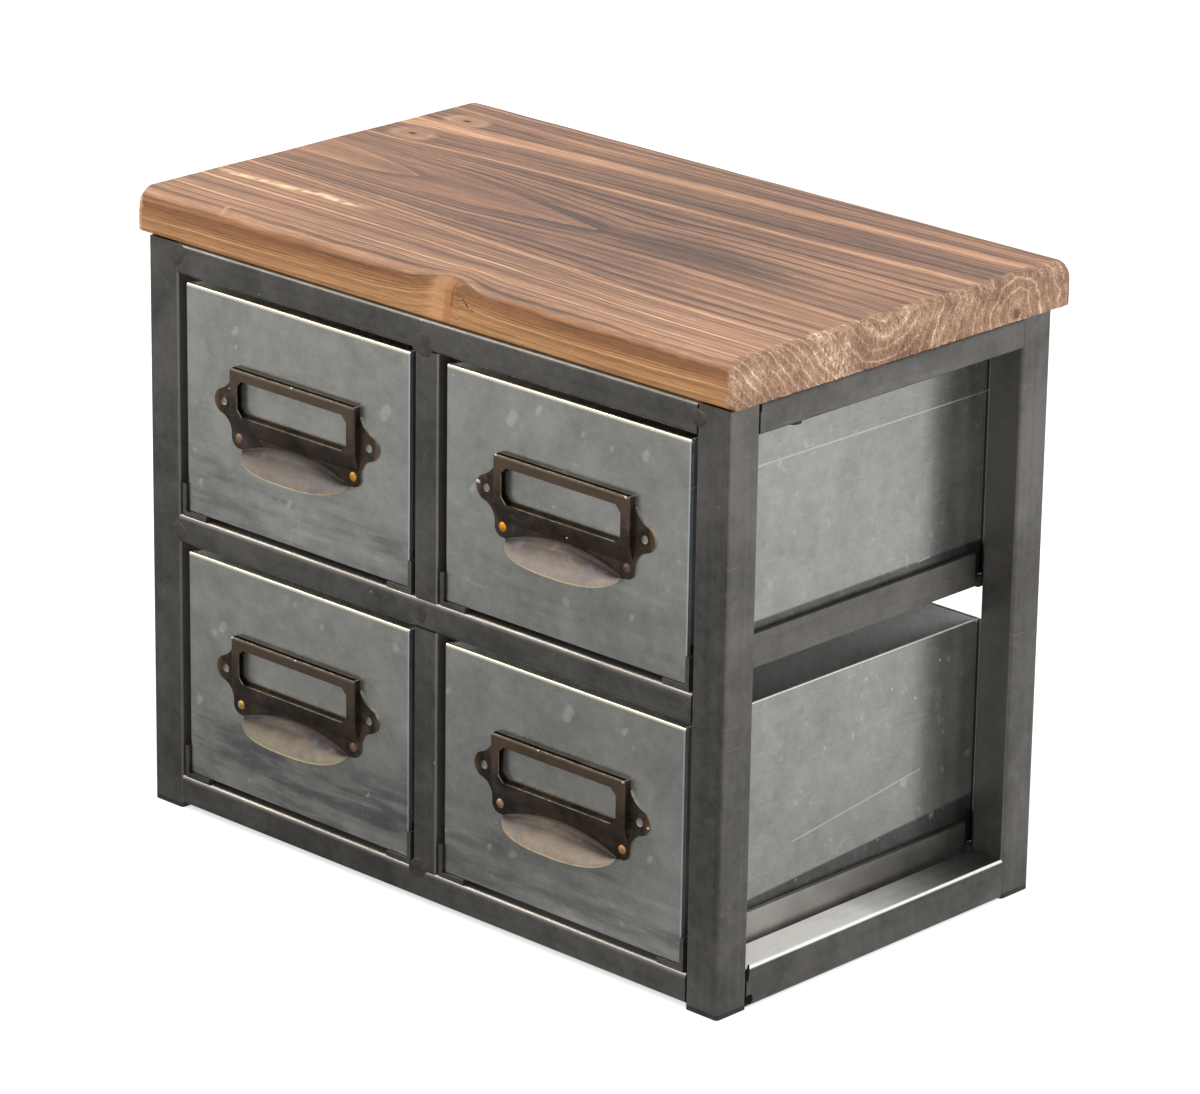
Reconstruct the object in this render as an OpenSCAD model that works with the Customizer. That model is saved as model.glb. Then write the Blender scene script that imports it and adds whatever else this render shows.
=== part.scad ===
/* [Frame] */
// Width over the four posts
frame_w = 380; // [350:5:460]
// Depth over the four posts
frame_d = 222; // [190:2:280]
// Height from the floor to the underside of the board
frame_h = 292; // [280:2:350]
// Side of the square post tube
post = 20; // [18:0.5:24]
// Side of the front, rear, divider and upper side tubes
rail = 15; // [13:0.5:18]
// Side of the lower side tubes
side_rail = 20; // [16:0.5:22]
// Wall of every tube
wall = 1.4; // [1:0.1:1.6]
// Outer corner radius of every tube
tube_r = 1.8; // [1.7:0.1:2.6]
// Underside of the lower front tube above the floor
rail_lift = 2.5; // [1:0.5:8]
// Underside of the lower side tubes above the floor
side_lift = 0.5; // [0.5:0.5:6]

/* [Foot caps] */
// Part of the cap that shows under the post
cap_h = 2.5; // [1.5:0.5:5]
// Depth of the plug inside the post
cap_plug = 10; // [6:1:16]
// Clearance of the plug in the tube, per side
cap_clear = 0.15; // [0.1:0.05:0.3]

/* [Board] */
// Thickness of the board
board_t = 22.5; // [18:0.5:30]
// Overhang past the left posts
over_left = 10; // [0:0.5:20]
// Overhang past the right posts
over_right = 0.5; // [0:0.5:20]
// Set back of the front edge behind the front tubes
front_set = 2.5; // [0:0.5:6]
// Overhang past the rear posts
over_rear = 12.5; // [0:0.5:25]
// Rounding of the long upper edges
edge_r = 7; // [3:0.5:10]
// Rounding of the left end's upper edge
left_r = 4; // [1:0.5:8]
// Rounding of the right end's upper edge
right_r = 1; // [0.5:0.5:4]
// Diameter of the screws that hold the board
screw_d = 4; // [3:0.5:5]
// Length of each screw inside the board
screw_bite = 14; // [8:1:16]
// Distance of the screws from the inner faces of the posts
screw_in = 30; // [15:1:60]

/* [Runners] */
// Leg width of the runner angle
angle_a = 16.5; // [12:0.5:20]
// Leg thickness of the runner angle
angle_t = 2.4; // [1.6:0.2:3]
// Gap between a post or divider and the runner beside it
runner_in = 2; // [0.5:0.5:4]
// Set back of the runners' front ends
runner_set = 0.5; // [0:0.5:3]

/* [Drawers] */
// Sheet thickness
sheet = 0.8; // [0.6:0.1:1.2]
// Clearance between a drawer's side and the runner, per side
side_clear = 0.35; // [0.3:0.05:1.5]
// Clearance under the drawer, above the runner's foot
ride = 0.3; // [0.3:0.05:1]
// Clearance between a drawer's top edge and the tube above it
top_gap = 3.7; // [1:0.1:8]
// Set back of the drawer fronts
front_in = 2; // [0:0.5:5]
// Space behind the drawers, to the rear of the frame
rear_gap = 13; // [8:0.5:18]
// Play between a closed drawer and its rear stop
stop_gap = 5; // [2:0.5:7]
// Thickness of the folded top edge
hem_w = 2.4; // [2:0.1:3.2]
// Depth of the folded top edge
hem_h = 7; // [5:0.5:12]
// Width of the hidden joining flanges
flange = 10; // [6:1:16]
// Width of the rear flange that shows on the sides
back_lap = 4; // [3.5:0.5:8]
// Seam between the rear flange and the side
seam = 0.2; // [0.1:0.1:0.5]

/* [Pulls] */
// Drop of the label frame below the drawer's top edge
pull_drop = 34.5; // [20:0.5:42]
// Width of the label frame
label_w = 86; // [70:1:96]
// Height of the label window
window_h = 17; // [12:0.5:20]
// Border of the label frame beside the window
border = 6; // [4:0.5:8]
// Stand-off of the label frame's face
bezel = 4; // [3:0.5:6]
// Sheet thickness of the pull
pull_t = 0.8; // [0.6:0.1:1]
// Height of the sloping apron under the window
apron = 8.5; // [6:0.5:11]
// Offset of the ear centres outside the label frame
ear_out = 7; // [5:0.5:9]
// Drop of the ear centres below the frame's top
ear_drop = 19; // [16:0.5:21]
// Radius of the ears
ear_r = 6.4; // [5:0.2:7]
// Radius of the open holes in the ears
ear_hole = 2.1; // [1.5:0.1:2.8]
// Drop of the rivets below the frame's top
rivet_drop = 35.5; // [33:0.5:38]
// Inset of the rivets from the label frame's sides
rivet_in = 3.7; // [2.5:0.1:5]
// Radius of the rivet shank
rivet_r = 1.45; // [1.2:0.05:1.8]
// Half width of the finger hood at its root
hood_half = 36; // [26:1:37]
// Drop of the hood's root at the middle
arch_drop = 34; // [33:0.5:37]
// Further drop of the hood's root at its ends
arch_sag = 7; // [4:0.5:9]
// Drop of the hood's lip below its ends
lip_drop = 7; // [5:0.5:10]
// Reach of the hood in front of the drawer
hood_out = 10.5; // [7:0.5:14]

/* [Hidden] */
$fn = 48;
eps = 0.01;
// openings and rows
open_w = (frame_w - 2 * post - rail) / 2;
open_h = (frame_h - rail_lift - 3 * rail) / 2;
low_z = rail_lift + rail;
mid_z = low_z + open_h + rail;
row_z = [low_z, mid_z];
col_x = [post, post + open_w + rail];
// drawers
side_gap = runner_in + angle_t + side_clear;
dw = open_w - 2 * side_gap;
dd = frame_d - front_in - rear_gap;
dh = open_h - angle_t - ride - top_gap;
hem_r = hem_w / 2;
// rear angles stand behind the drawers
stop_y = front_in + dd + stop_gap;
angle_y = stop_y + angle_t - angle_a;
// whole object
x_min = -over_left;
x_max = frame_w + over_right;
y_min = min(front_in - hood_out, front_set);
y_max = frame_d + over_rear;
cx = (x_min + x_max) / 2;
cy = (y_min + y_max) / 2;
// pull
window_w = label_w - 2 * border;
floor_drop = border + window_h;
ear_u = label_w / 2 + ear_out;
rivet_u = label_w / 2 - rivet_in;
lobe_r = 5.2;
arch_r = (hood_half * hood_half + arch_sag * arch_sag) / (2 * arch_sag);
tip_drop = arch_drop + arch_sag;
apron_drop = floor_drop + 1 + apron;
fit_c = 0.05;

steel = [0.29, 0.28, 0.27];
zinc = [0.50, 0.51, 0.50];
bronze = [0.25, 0.21, 0.17];
copper = [0.60, 0.40, 0.22];
black = [0.06, 0.06, 0.06];
fir = [0.62, 0.42, 0.27];
screw_c = [0.62, 0.62, 0.60];

// rounded rectangle with true arcs
module rr(w, h, r) {
    translate([r, 0]) square([w - 2 * r, h]);
    translate([0, r]) square([w, h - 2 * r]);
    for (x = [r, w - r], y = [r, h - r]) translate([x, y]) circle(r);
}

// cross section of a square tube
module tube_2d(a) {
    difference() {
        rr(a, a, tube_r);
        translate([wall, wall]) rr(a - 2 * wall, a - 2 * wall, tube_r - wall);
    }
}

// sweep a section along an axis: section x and y stand on the two other axes
module along_x(p, len) { translate(p) rotate([90, 0, 90]) linear_extrude(len) children(); }
module along_y(p, len) { translate(p + [0, len, 0]) rotate([90, 0, 0]) linear_extrude(len) children(); }
module along_z(p, len) { translate(p) linear_extrude(len) children(); }

// the object's own frame: centre of the whole outline, on the floor
module place() { translate([-cx, -cy, 0]) children(); }

// ---- frame ----

// px and py are 0 for the left or front post and 1 for the right or rear one
module post_tube(px, py) {
    place() color(steel)
        along_z([px * (frame_w - post), py * (frame_d - post), cap_h], frame_h - cap_h) tube_2d(post);
}

module foot_cap(px, py) {
    plug = post - 2 * wall - 2 * cap_clear;
    place() color(black) translate([px * (frame_w - post), py * (frame_d - post), 0]) {
        linear_extrude(cap_h) rr(post, post, tube_r);
        translate([wall + cap_clear, wall + cap_clear, cap_h - eps])
            linear_extrude(cap_plug + eps) rr(plug, plug, tube_r - wall);
    }
}

module cross_tube(z, y) {
    place() color(steel) along_x([post, y, z], frame_w - 2 * post) tube_2d(rail);
}

module mullion(z) {
    place() color(steel) along_z([post + open_w, 0, z], open_h) tube_2d(rail);
}

// screw centres on the upper side tubes
function screw_x(px) = px == 0 ? rail / 2 : frame_w - rail / 2;
function screw_y(py) = py == 0 ? post + screw_in : frame_d - post - screw_in;

module side_top_rail(px) {
    place() color(steel) difference() {
        along_y([px * (frame_w - rail), post, frame_h - rail], frame_d - 2 * post) tube_2d(rail);
        for (py = [0, 1]) translate([screw_x(px), screw_y(py), frame_h - rail - 1])
            cylinder(r = screw_d / 2 + 2 * fit_c, h = rail + 2);
    }
}

module side_bottom_rail(px) {
    place() color(steel)
        along_y([px * (frame_w - side_rail), post, side_lift], frame_d - 2 * post) tube_2d(side_rail);
}

// L section, corner at the origin, legs along +x and +y
module angle_2d() {
    square([angle_a, angle_t]);
    square([angle_t, angle_a]);
}

// a runner stands outside the drawer's side, and its foot points under the drawer
module runner(row, col, right) {
    x = right ? col_x[col] + open_w - runner_in : col_x[col] + runner_in;
    place() color(steel) along_y([x, runner_set, row_z[row]], angle_y - runner_set)
        mirror([right ? 1 : 0, 0]) angle_2d();
}

// cross angle behind the drawers: its foot carries their rear ends, its upright leg stops them
module rear_angle(row) {
    place() color(steel) along_x([post, angle_y + angle_a, row_z[row]], frame_w - 2 * post)
        mirror([1, 0]) angle_2d();
}

module wood_top() {
    len = x_max - x_min;
    dep = y_max - front_set;
    place() color(fir) difference() {
        intersection() {
            along_x([x_min, front_set, frame_h], len) {
                square([dep, board_t - edge_r]);
                translate([edge_r, 0]) square([dep - 2 * edge_r, board_t]);
                for (y = [edge_r, dep - edge_r]) translate([y, board_t - edge_r]) circle(edge_r);
            }
            along_y([x_min, front_set, frame_h], dep) {
                square([len, board_t - max(left_r, right_r)]);
                translate([left_r, 0]) square([len - left_r - right_r, board_t]);
                square([left_r + eps, board_t - left_r]);
                translate([len - right_r - eps, 0]) square([right_r + eps, board_t - right_r]);
                translate([left_r, board_t - left_r]) circle(left_r);
                translate([len - right_r, board_t - right_r]) circle(right_r);
            }
        }
        for (px = [0, 1], py = [0, 1]) translate([screw_x(px), screw_y(py), frame_h - 1])
            cylinder(r = screw_d / 2 + fit_c, h = screw_bite + 2);
    }
}

module top_screws() {
    head_r = screw_d;
    head_h = screw_d * 0.6;
    place() color(screw_c) for (px = [0, 1], py = [0, 1])
        translate([screw_x(px), screw_y(py), frame_h - rail - head_h]) difference() {
            union() {
                cylinder(r = head_r, h = head_h);
                cylinder(r = screw_d / 2, h = head_h + rail + screw_bite);
            }
            for (a = [0, 90]) rotate(a) translate([-head_r * 0.6, -0.4, -1]) cube([head_r * 1.2, 0.8, 2]);
        }
}

// ---- drawers: each is drawn from its own lower front left corner ----

module at_drawer(row, col) {
    place() translate([col_x[col] + side_gap, front_in, row_z[row] + angle_t + ride]) children();
}

// folded top edge of a wall: the wall's outer face is x = 0, the fold turns towards +x
module hem_2d() {
    translate([hem_r, dh - hem_r]) circle(hem_r);
    translate([hem_w - sheet, dh - hem_h]) square([sheet, hem_h - hem_r]);
}

// bottom and both sides in one bent sheet
module tray(row, col) {
    side_len = dd - back_lap - seam - sheet;
    bend = sheet + 0.7;
    at_drawer(row, col) color(zinc) difference() {
        union() {
            along_y([0, sheet, 0], side_len) {
                difference() {
                    rr(dw, dh, bend);
                    translate([sheet, sheet]) square([dw - 2 * sheet, dh]);
                    translate([-1, dh - hem_r]) square([dw + 2, hem_r + 1]);
                }
                hem_2d();
                translate([dw, 0]) mirror([1, 0]) hem_2d();
            }
            along_x([bend, sheet, 0], dw - 2 * bend) square([dd - 2 * sheet, sheet]);
        }
        // corner notches for the front's folded edge
        translate([-1, 0, dh - hem_h - seam]) cube([dw + 2, hem_w + seam, hem_h + 1]);
    }
}

// sheet with a folded top edge that turns towards +y, and joining flanges behind it
module end_panel() {
    along_x([0, 0, 0], dw) {
        square([sheet, dh - hem_r]);
        hem_2d();
    }
    for (m = [0, 1]) translate([m * dw, 0, 0]) mirror([m, 0, 0])
        translate([sheet, sheet - eps, 2 * sheet])
            cube([sheet, flange + eps, dh - hem_h - 1 - 2 * sheet]);
    translate([3 * sheet, sheet - eps, sheet]) cube([dw - 6 * sheet, flange + eps, sheet]);
}

module front_panel(row, col) {
    at_drawer(row, col) color(zinc) difference() {
        end_panel();
        for (s = [-1, 1]) translate([dw / 2 + s * rivet_u, -1, dh - pull_drop - rivet_drop])
            rotate([-90, 0, 0]) cylinder(r = rivet_r + fit_c, h = sheet + 2);
    }
}

module back_panel(row, col) {
    at_drawer(row, col) color(zinc) translate([dw, dd, 0]) rotate(180) {
        end_panel();
        for (m = [0, 1]) translate([m * dw, 0, 0]) mirror([m, 0, 0])
            translate([0, sheet - eps, 2 * sheet])
                cube([sheet + eps, back_lap - sheet + eps, dh - 3 * sheet - hem_r / 2]);
    }
}

// ---- pull: drawn with the label frame's top middle at the origin, the drawer's face at y = 0 ----

module at_pull(row, col) {
    at_drawer(row, col) translate([dw / 2, 0, dh - pull_drop]) children();
}

// centre of the circle of radius r that touches two circles from outside
function touch(a, ra, b, rb, r) = let(
    d = norm(b - a), p = ra + r, q = rb + r,
    s = (p * p - q * q + d * d) / (2 * d), h = sqrt(max(0, p * p - s * s)),
    e = (b - a) / d) a + s * e + h * [-e[1], e[0]];

// right half of the plate: ear, lobe and the hollows between them
module plate_half_2d() {
    ear = [ear_u, -ear_drop];
    lobe = [rivet_u, -rivet_drop];
    // upper hollow: its centre is level with the frame's top, and it leaves the frame's corner
    up_r = (pow(ear_out, 2) + pow(ear_drop, 2) - pow(ear_r, 2)) / (2 * (ear_r + ear_out));
    up = [label_w / 2 + up_r, 0];
    low_r = 9;
    low = touch(ear, ear_r, lobe, lobe_r, low_r);
    difference() {
        polygon([[label_w / 2 - 4, 0], [label_w / 2, 0], up, ear, low, lobe,
            [hood_half - 4, -arch_drop], [hood_half - 4, -apron_drop + 1],
            [label_w / 2 - 4, -apron_drop + 1]]);
        translate(up) circle(up_r);
        translate(low) circle(low_r);
    }
    translate(ear) circle(ear_r);
    translate(lobe) circle(lobe_r);
    polygon([lobe, lobe + lobe_r * [cos(-50), sin(-50)], [hood_half, -tip_drop - 0.3],
        [hood_half - 6, -tip_drop + 3], [hood_half - 8, -arch_drop]]);
    translate([0, -arch_drop - 3]) square([rivet_u, 3 + arch_drop - apron_drop + 1]);
}

module plate_2d() {
    difference() {
        union() {
            plate_half_2d();
            mirror([1, 0]) plate_half_2d();
        }
        translate([0, -arch_drop - arch_r]) circle(arch_r, $fn = 180);
        for (s = [-1, 1]) {
            translate([s * ear_u, -ear_drop]) circle(ear_hole);
            translate([s * rivet_u, -rivet_drop]) circle(rivet_r + fit_c);
        }
    }
}

// side view of the label frame: face, sloping apron and the floor that the card stands on
module bezel_face_2d() {
    o = floor_drop + 1;
    polygon([[-bezel, 0], [-bezel, -o], [-pull_t, -apron_drop], [0, -apron_drop],
        [0, -apron_drop + 0.3], [-bezel + pull_t, -o + 0.2], [-bezel + pull_t, 0]]);
    translate([-bezel + eps, -floor_drop - pull_t]) square([bezel - eps, pull_t]);
}

module bezel_side_2d() {
    polygon([[-bezel, 0], [-bezel, -floor_drop - 1], [-pull_t, -apron_drop], [0, -apron_drop], [0, 0]]);
}

module label_frame() {
    half = label_w / 2;
    c = 4;
    difference() {
        union() {
            along_x([-half, 0, 0], label_w) bezel_face_2d();
            for (x = [-half, half - pull_t]) along_x([x, 0, 0], pull_t) bezel_side_2d();
        }
        // window with cut corners
        translate([0, 1 - bezel + pull_t, 0]) rotate([90, 0, 0]) linear_extrude(pull_t + 2) polygon([
            [-window_w / 2 + c, -border], [window_w / 2 - c, -border], [window_w / 2, -border - c],
            [window_w / 2, -floor_drop + c], [window_w / 2 - c, -floor_drop],
            [-window_w / 2 + c, -floor_drop], [-window_w / 2, -floor_drop + c], [-window_w / 2, -border - c]]);
    }
}

// finger hood: quarter-ellipse profiles that grow from nothing at the ends to full reach in the middle
hood_n = 20;
hood_m = 6;
function hood_g(x) = sqrt(max(0, 1 - pow(abs(x), 2.6)));
function arch_w(u) = -arch_drop - (arch_r - sqrt(arch_r * arch_r - u * u));
function hood_reach(x) = 2.2 * pull_t + (hood_out - 2.2 * pull_t) * hood_g(x);
function hood_lip(x) = -tip_drop - 0.2 - (lip_drop - 0.2) * hood_g(x);
function hood_outer(x, a) = let(u = hood_half * x, w = arch_w(u) + pull_t, y = hood_reach(x))
    [u, -pull_t - (y - pull_t) * sin(a), w - (w - hood_lip(x)) * (1 - cos(a))];
function hood_inner(x, a) = let(u = hood_half * x, w = arch_w(u) + 0.1, y = hood_reach(x))
    [u, -pull_t - (y - 2 * pull_t) * sin(a), w - (w - hood_lip(x)) * (1 - cos(a))];
function hood_root(x, up) = [hood_half * x, -0.4 * pull_t, arch_w(hood_half * x) + up];
function hood_loop(x) = concat([hood_root(x, pull_t)],
    [for (j = [0:hood_m]) hood_outer(x, 90 * j / hood_m)],
    [for (j = [hood_m:-1:0]) hood_inner(x, 90 * j / hood_m)],
    [hood_root(x, 0.1)]);

module hood() {
    k = 2 * hood_m + 4;
    pts = [for (i = [0:hood_n]) each hood_loop(sin(-90 + 180 * i / hood_n))];
    skin = [for (i = [0:hood_n - 1], j = [0:k - 1]) let(
        a = i * k + j, b = i * k + (j + 1) % k, c = (i + 1) * k + (j + 1) % k, d = (i + 1) * k + j)
        each [[a, c, b], [a, d, c]]];
    // each end is a strip of small triangles between the outer and the inner profile
    ends = [for (e = [0, 1], j = [0:hood_m]) let(
        o = e * hood_n * k, a = o + j, b = o + j + 1, c = o + k - 2 - j, d = o + k - 1 - j)
        each e == 0 ? [[a, b, c], [a, c, d]] : [[a, c, b], [a, d, c]]];
    polyhedron(pts, concat(skin, ends), convexity = 4);
}

module pull(row, col) {
    at_pull(row, col) color(bronze) {
        rotate([90, 0, 0]) linear_extrude(pull_t) plate_2d();
        label_frame();
        hood();
    }
}

module rivets(row, col) {
    head_r = rivet_r * 1.6;
    head_h = 1.1;
    dome = (head_r * head_r + head_h * head_h) / (2 * head_h);
    at_pull(row, col) color(copper) for (s = [-1, 1]) translate([s * rivet_u, 0, -rivet_drop])
        rotate([90, 0, 0]) {
            translate([0, 0, pull_t]) intersection() {
                translate([0, 0, head_h - dome]) sphere(dome);
                cylinder(r = head_r, h = head_h + 1);
            }
            translate([0, 0, -sheet]) cylinder(r = rivet_r, h = sheet + pull_t + 0.3);
            translate([0, 0, -sheet - 0.8]) cylinder(r = head_r, h = 0.8);
        }
}

wood_top();
top_screws();
post_tube(0, 0);  // post_front_left
post_tube(1, 0);  // post_front_right
post_tube(0, 1);  // post_rear_left
post_tube(1, 1);  // post_rear_right
foot_cap(0, 0);  // foot_cap_front_left
foot_cap(1, 0);  // foot_cap_front_right
foot_cap(0, 1);  // foot_cap_rear_left
foot_cap(1, 1);  // foot_cap_rear_right
cross_tube(frame_h - rail, 0);  // front_top_rail
cross_tube(mid_z - rail, 0);  // front_mid_rail
cross_tube(rail_lift, 0);  // front_bottom_rail
cross_tube(frame_h - rail, frame_d - rail);  // rear_top_rail
rear_angle(1);  // rear_mid_angle
rear_angle(0);  // rear_bottom_angle
side_top_rail(0);  // side_top_rail_left
side_top_rail(1);  // side_top_rail_right
side_bottom_rail(0);  // side_bottom_rail_left
side_bottom_rail(1);  // side_bottom_rail_right
mullion(mid_z);  // mullion_upper
mullion(low_z);  // mullion_lower
runner(1, 0, false);  // runner_upper_left_outer
runner(1, 0, true);  // runner_upper_left_inner
runner(1, 1, false);  // runner_upper_right_inner
runner(1, 1, true);  // runner_upper_right_outer
runner(0, 0, false);  // runner_lower_left_outer
runner(0, 0, true);  // runner_lower_left_inner
runner(0, 1, false);  // runner_lower_right_inner
runner(0, 1, true);  // runner_lower_right_outer
tray(1, 0);  // upper_left_tray
front_panel(1, 0);  // upper_left_front
back_panel(1, 0);  // upper_left_back
pull(1, 0);  // upper_left_pull
rivets(1, 0);  // upper_left_rivets
tray(1, 1);  // upper_right_tray
front_panel(1, 1);  // upper_right_front
back_panel(1, 1);  // upper_right_back
pull(1, 1);  // upper_right_pull
rivets(1, 1);  // upper_right_rivets
tray(0, 0);  // lower_left_tray
front_panel(0, 0);  // lower_left_front
back_panel(0, 0);  // lower_left_back
pull(0, 0);  // lower_left_pull
rivets(0, 0);  // lower_left_rivets
tray(0, 1);  // lower_right_tray
front_panel(0, 1);  // lower_right_front
back_panel(0, 1);  // lower_right_back
pull(0, 1);  // lower_right_pull
rivets(0, 1);  // lower_right_rivets
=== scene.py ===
import math

import bmesh
import bpy
import numpy as np
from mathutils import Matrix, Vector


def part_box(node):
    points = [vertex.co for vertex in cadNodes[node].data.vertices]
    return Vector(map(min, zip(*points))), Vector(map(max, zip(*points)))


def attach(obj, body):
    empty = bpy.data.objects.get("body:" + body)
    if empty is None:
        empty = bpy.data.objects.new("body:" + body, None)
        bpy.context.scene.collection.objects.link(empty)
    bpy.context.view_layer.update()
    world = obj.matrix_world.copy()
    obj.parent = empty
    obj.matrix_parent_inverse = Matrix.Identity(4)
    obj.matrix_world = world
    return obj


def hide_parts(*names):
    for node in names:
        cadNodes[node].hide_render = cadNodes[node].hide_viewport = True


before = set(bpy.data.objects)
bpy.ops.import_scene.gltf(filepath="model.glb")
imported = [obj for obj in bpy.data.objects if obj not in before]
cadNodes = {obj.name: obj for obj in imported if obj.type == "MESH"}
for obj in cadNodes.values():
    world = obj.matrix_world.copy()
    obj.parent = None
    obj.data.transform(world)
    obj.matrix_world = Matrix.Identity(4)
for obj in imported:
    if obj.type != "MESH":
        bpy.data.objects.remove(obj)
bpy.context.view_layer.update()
print("frame loaded:", len(cadNodes), "nodes")

# left front corner of the steel frame on the floor, and its right side, in mm
frameLow = np.array([*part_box("post_front_left")[0].xy, 0]) * 1000
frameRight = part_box("post_front_right")[1].x * 1000

cameraView = {"lens": 169.83, "place": (1.77287, -1.86720, 1.06907), "turn": (70.3926, -0.8235, 43.6390)}

cameraData = bpy.data.cameras.new("camera")
cameraData.lens = cameraView["lens"]
cameraData.sensor_fit = "HORIZONTAL"
cameraData.sensor_width = 36
cameraData.clip_start, cameraData.clip_end = 0.05, 60
camera = bpy.data.objects.new("camera", cameraData)
camera.location = cameraView["place"]
camera.rotation_euler = [math.radians(a) for a in cameraView["turn"]]
bpy.context.scene.collection.objects.link(camera)
bpy.context.scene.camera = camera
print("camera placed")


def tint(red, green, blue):
    # screen colour, 0 to 255, to the linear colour that a shader takes
    screen = np.array([red, green, blue], float) / 255
    linear = np.where(screen <= 0.04045, screen / 12.92, ((screen + 0.055) / 1.055) ** 2.4)
    return (*linear.tolist(), 1.0)


def feed(tree, socket, value):
    if isinstance(value, bpy.types.NodeSocket):
        tree.links.new(value, socket)
    elif value is not None:
        socket.default_value = value


def addNode(tree, kind, inputs=None, **settings):
    made = tree.nodes.new("ShaderNode" + kind)
    for name, value in settings.items():
        setattr(made, name, value)
    for name, value in (inputs or {}).items():
        feed(tree, made.inputs[name], value)
    return made


def calc(tree, operation, *values, clamp=False):
    made = addNode(tree, "Math", operation=operation, use_clamp=clamp)
    for place, value in enumerate(values):
        feed(tree, made.inputs[place], value)
    return made.outputs[0]


def total(tree, *terms):
    # sum of (factor, value) pairs and plain numbers
    result = None
    for term in terms:
        part = calc(tree, "MULTIPLY", term[1], term[0]) if isinstance(term, tuple) else term
        result = part if result is None else calc(tree, "ADD", result, part)
    return result


def span(tree, value, low, high, outLow=0.0, outHigh=1.0):
    # a value between low and high becomes a soft step from outLow to outHigh
    made = addNode(tree, "MapRange", interpolation_type="SMOOTHSTEP")
    for name, number in (("Value", value), ("From Min", low), ("From Max", high), ("To Min", outLow),
                         ("To Max", outHigh)):
        feed(tree, made.inputs[name], number)
    return made.outputs["Result"]


def opposite(tree, mask):
    return calc(tree, "SUBTRACT", 1.0, mask)


def above(tree, value, limit):
    return calc(tree, "GREATER_THAN", value, limit)


def below(tree, value, limit):
    return calc(tree, "LESS_THAN", value, limit)


def both(tree, *masks):
    result = masks[0]
    for mask in masks[1:]:
        result = calc(tree, "MULTIPLY", result, mask)
    return result


def either(tree, *masks):
    result = masks[0]
    for mask in masks[1:]:
        result = calc(tree, "MAXIMUM", result, mask)
    return result


def blendColours(tree, share, first, second, mode="MIX"):
    made = addNode(tree, "Mix", data_type="RGBA", blend_type=mode)
    for place, value in ((0, share), (6, first), (7, second)):
        feed(tree, made.inputs[place], value)
    return made.outputs[2]


def paint(tree, colour, shade, *masks):
    # lays a screen colour over another one where all the masks are one; a plain number weakens it
    return blendColours(tree, both(tree, *masks), colour, tint(*shade))


def shadeBy(tree, colour, amount):
    # a colour made darker or lighter by a number
    grey = addNode(tree, "CombineColor", {channel: amount for channel in range(3)}).outputs[0]
    return blendColours(tree, 1.0, colour, grey, "MULTIPLY")


def ramp(tree, value, stops):
    made = addNode(tree, "ValToRGB", {"Fac": value})
    line = made.color_ramp.elements
    while len(line) < len(stops):
        line.new(0.5)
    for element, (place, colour) in zip(line, stops):
        element.position = place
        element.color = colour
    return made.outputs["Color"]


def tintRamp(tree, value, stops, full=1.0):
    # a ramp of screen colours; full is the place of its right end
    return ramp(tree, value, [(place / full, tint(*shade)) for place, shade in stops])


def greyRamp(tree, value, stops):
    return ramp(tree, value, [(place, (grey, grey, grey, 1.0)) for place, grey in stops])


def noise(tree, vector, size, detail=4.0, rough=0.5):
    return addNode(tree, "TexNoise", {"Vector": vector, "Scale": 1 / size, "Detail": detail,
                                      "Roughness": rough}).outputs["Fac"]


def noiseAlong(tree, value, detail=2.0, rough=0.5):
    # noise along a line, from one number
    return addNode(tree, "TexNoise", {"W": value, "Scale": 1.0, "Detail": detail, "Roughness": rough},
                   noise_dimensions="1D").outputs["Fac"]


def chance(tree, number):
    # a random number from 0 to 1 for each whole number
    return addNode(tree, "TexWhiteNoise", {"W": number}, noise_dimensions="1D").outputs["Value"]


def stretch(tree, vector, scale=(1.0, 1.0, 1.0), turn=(0.0, 0.0, 0.0), shift=(0.0, 0.0, 0.0)):
    return addNode(tree, "Mapping", {"Vector": vector, "Scale": scale, "Rotation": turn,
                                     "Location": shift}).outputs["Vector"]


def vectorMath(tree, operation, first, second, output=0):
    return addNode(tree, "VectorMath", {0: first, 1: second}, operation=operation).outputs[output]


def objectPlace(tree):
    return addNode(tree, "TexCoord").outputs["Object"]


def split(tree, vector):
    return addNode(tree, "SeparateXYZ", {"Vector": vector}).outputs


def bump(tree, height, strength, depth, under=None):
    inputs = {"Height": height, "Strength": strength, "Distance": depth}
    if under is not None:
        inputs["Normal"] = under
    return addNode(tree, "Bump", inputs).outputs["Normal"]


def wire(tree, shader, sockets):
    for name, value in sockets.items():
        feed(tree, shader.inputs[name], value)


def newMaterial(name, sockets):
    # a Principled material; sockets holds its plain numbers and colours
    material = bpy.data.materials.new(name)
    material.use_nodes = True
    tree = material.node_tree
    shader = tree.nodes["Principled BSDF"]
    for socket, value in sockets.items():
        shader.inputs[socket].default_value = value
    return material, tree, shader


def newGroup(name, inputs, outputs):
    group = bpy.data.node_groups.new(name, "ShaderNodeTree")
    for label, kind, value in inputs:
        socket = group.interface.new_socket(label, in_out="INPUT", socket_type="NodeSocket" + kind)
        if value is not None:
            socket.default_value = value
    for label, kind in outputs:
        group.interface.new_socket(label, in_out="OUTPUT", socket_type="NodeSocket" + kind)
    return group, group.nodes.new("NodeGroupInput").outputs, group.nodes.new("NodeGroupOutput").inputs


def useGroup(tree, group, inputs):
    made = tree.nodes.new("ShaderNodeGroup")
    made.node_tree = group
    for name, value in inputs.items():
        feed(tree, made.inputs[name], value)
    return made.outputs


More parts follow.
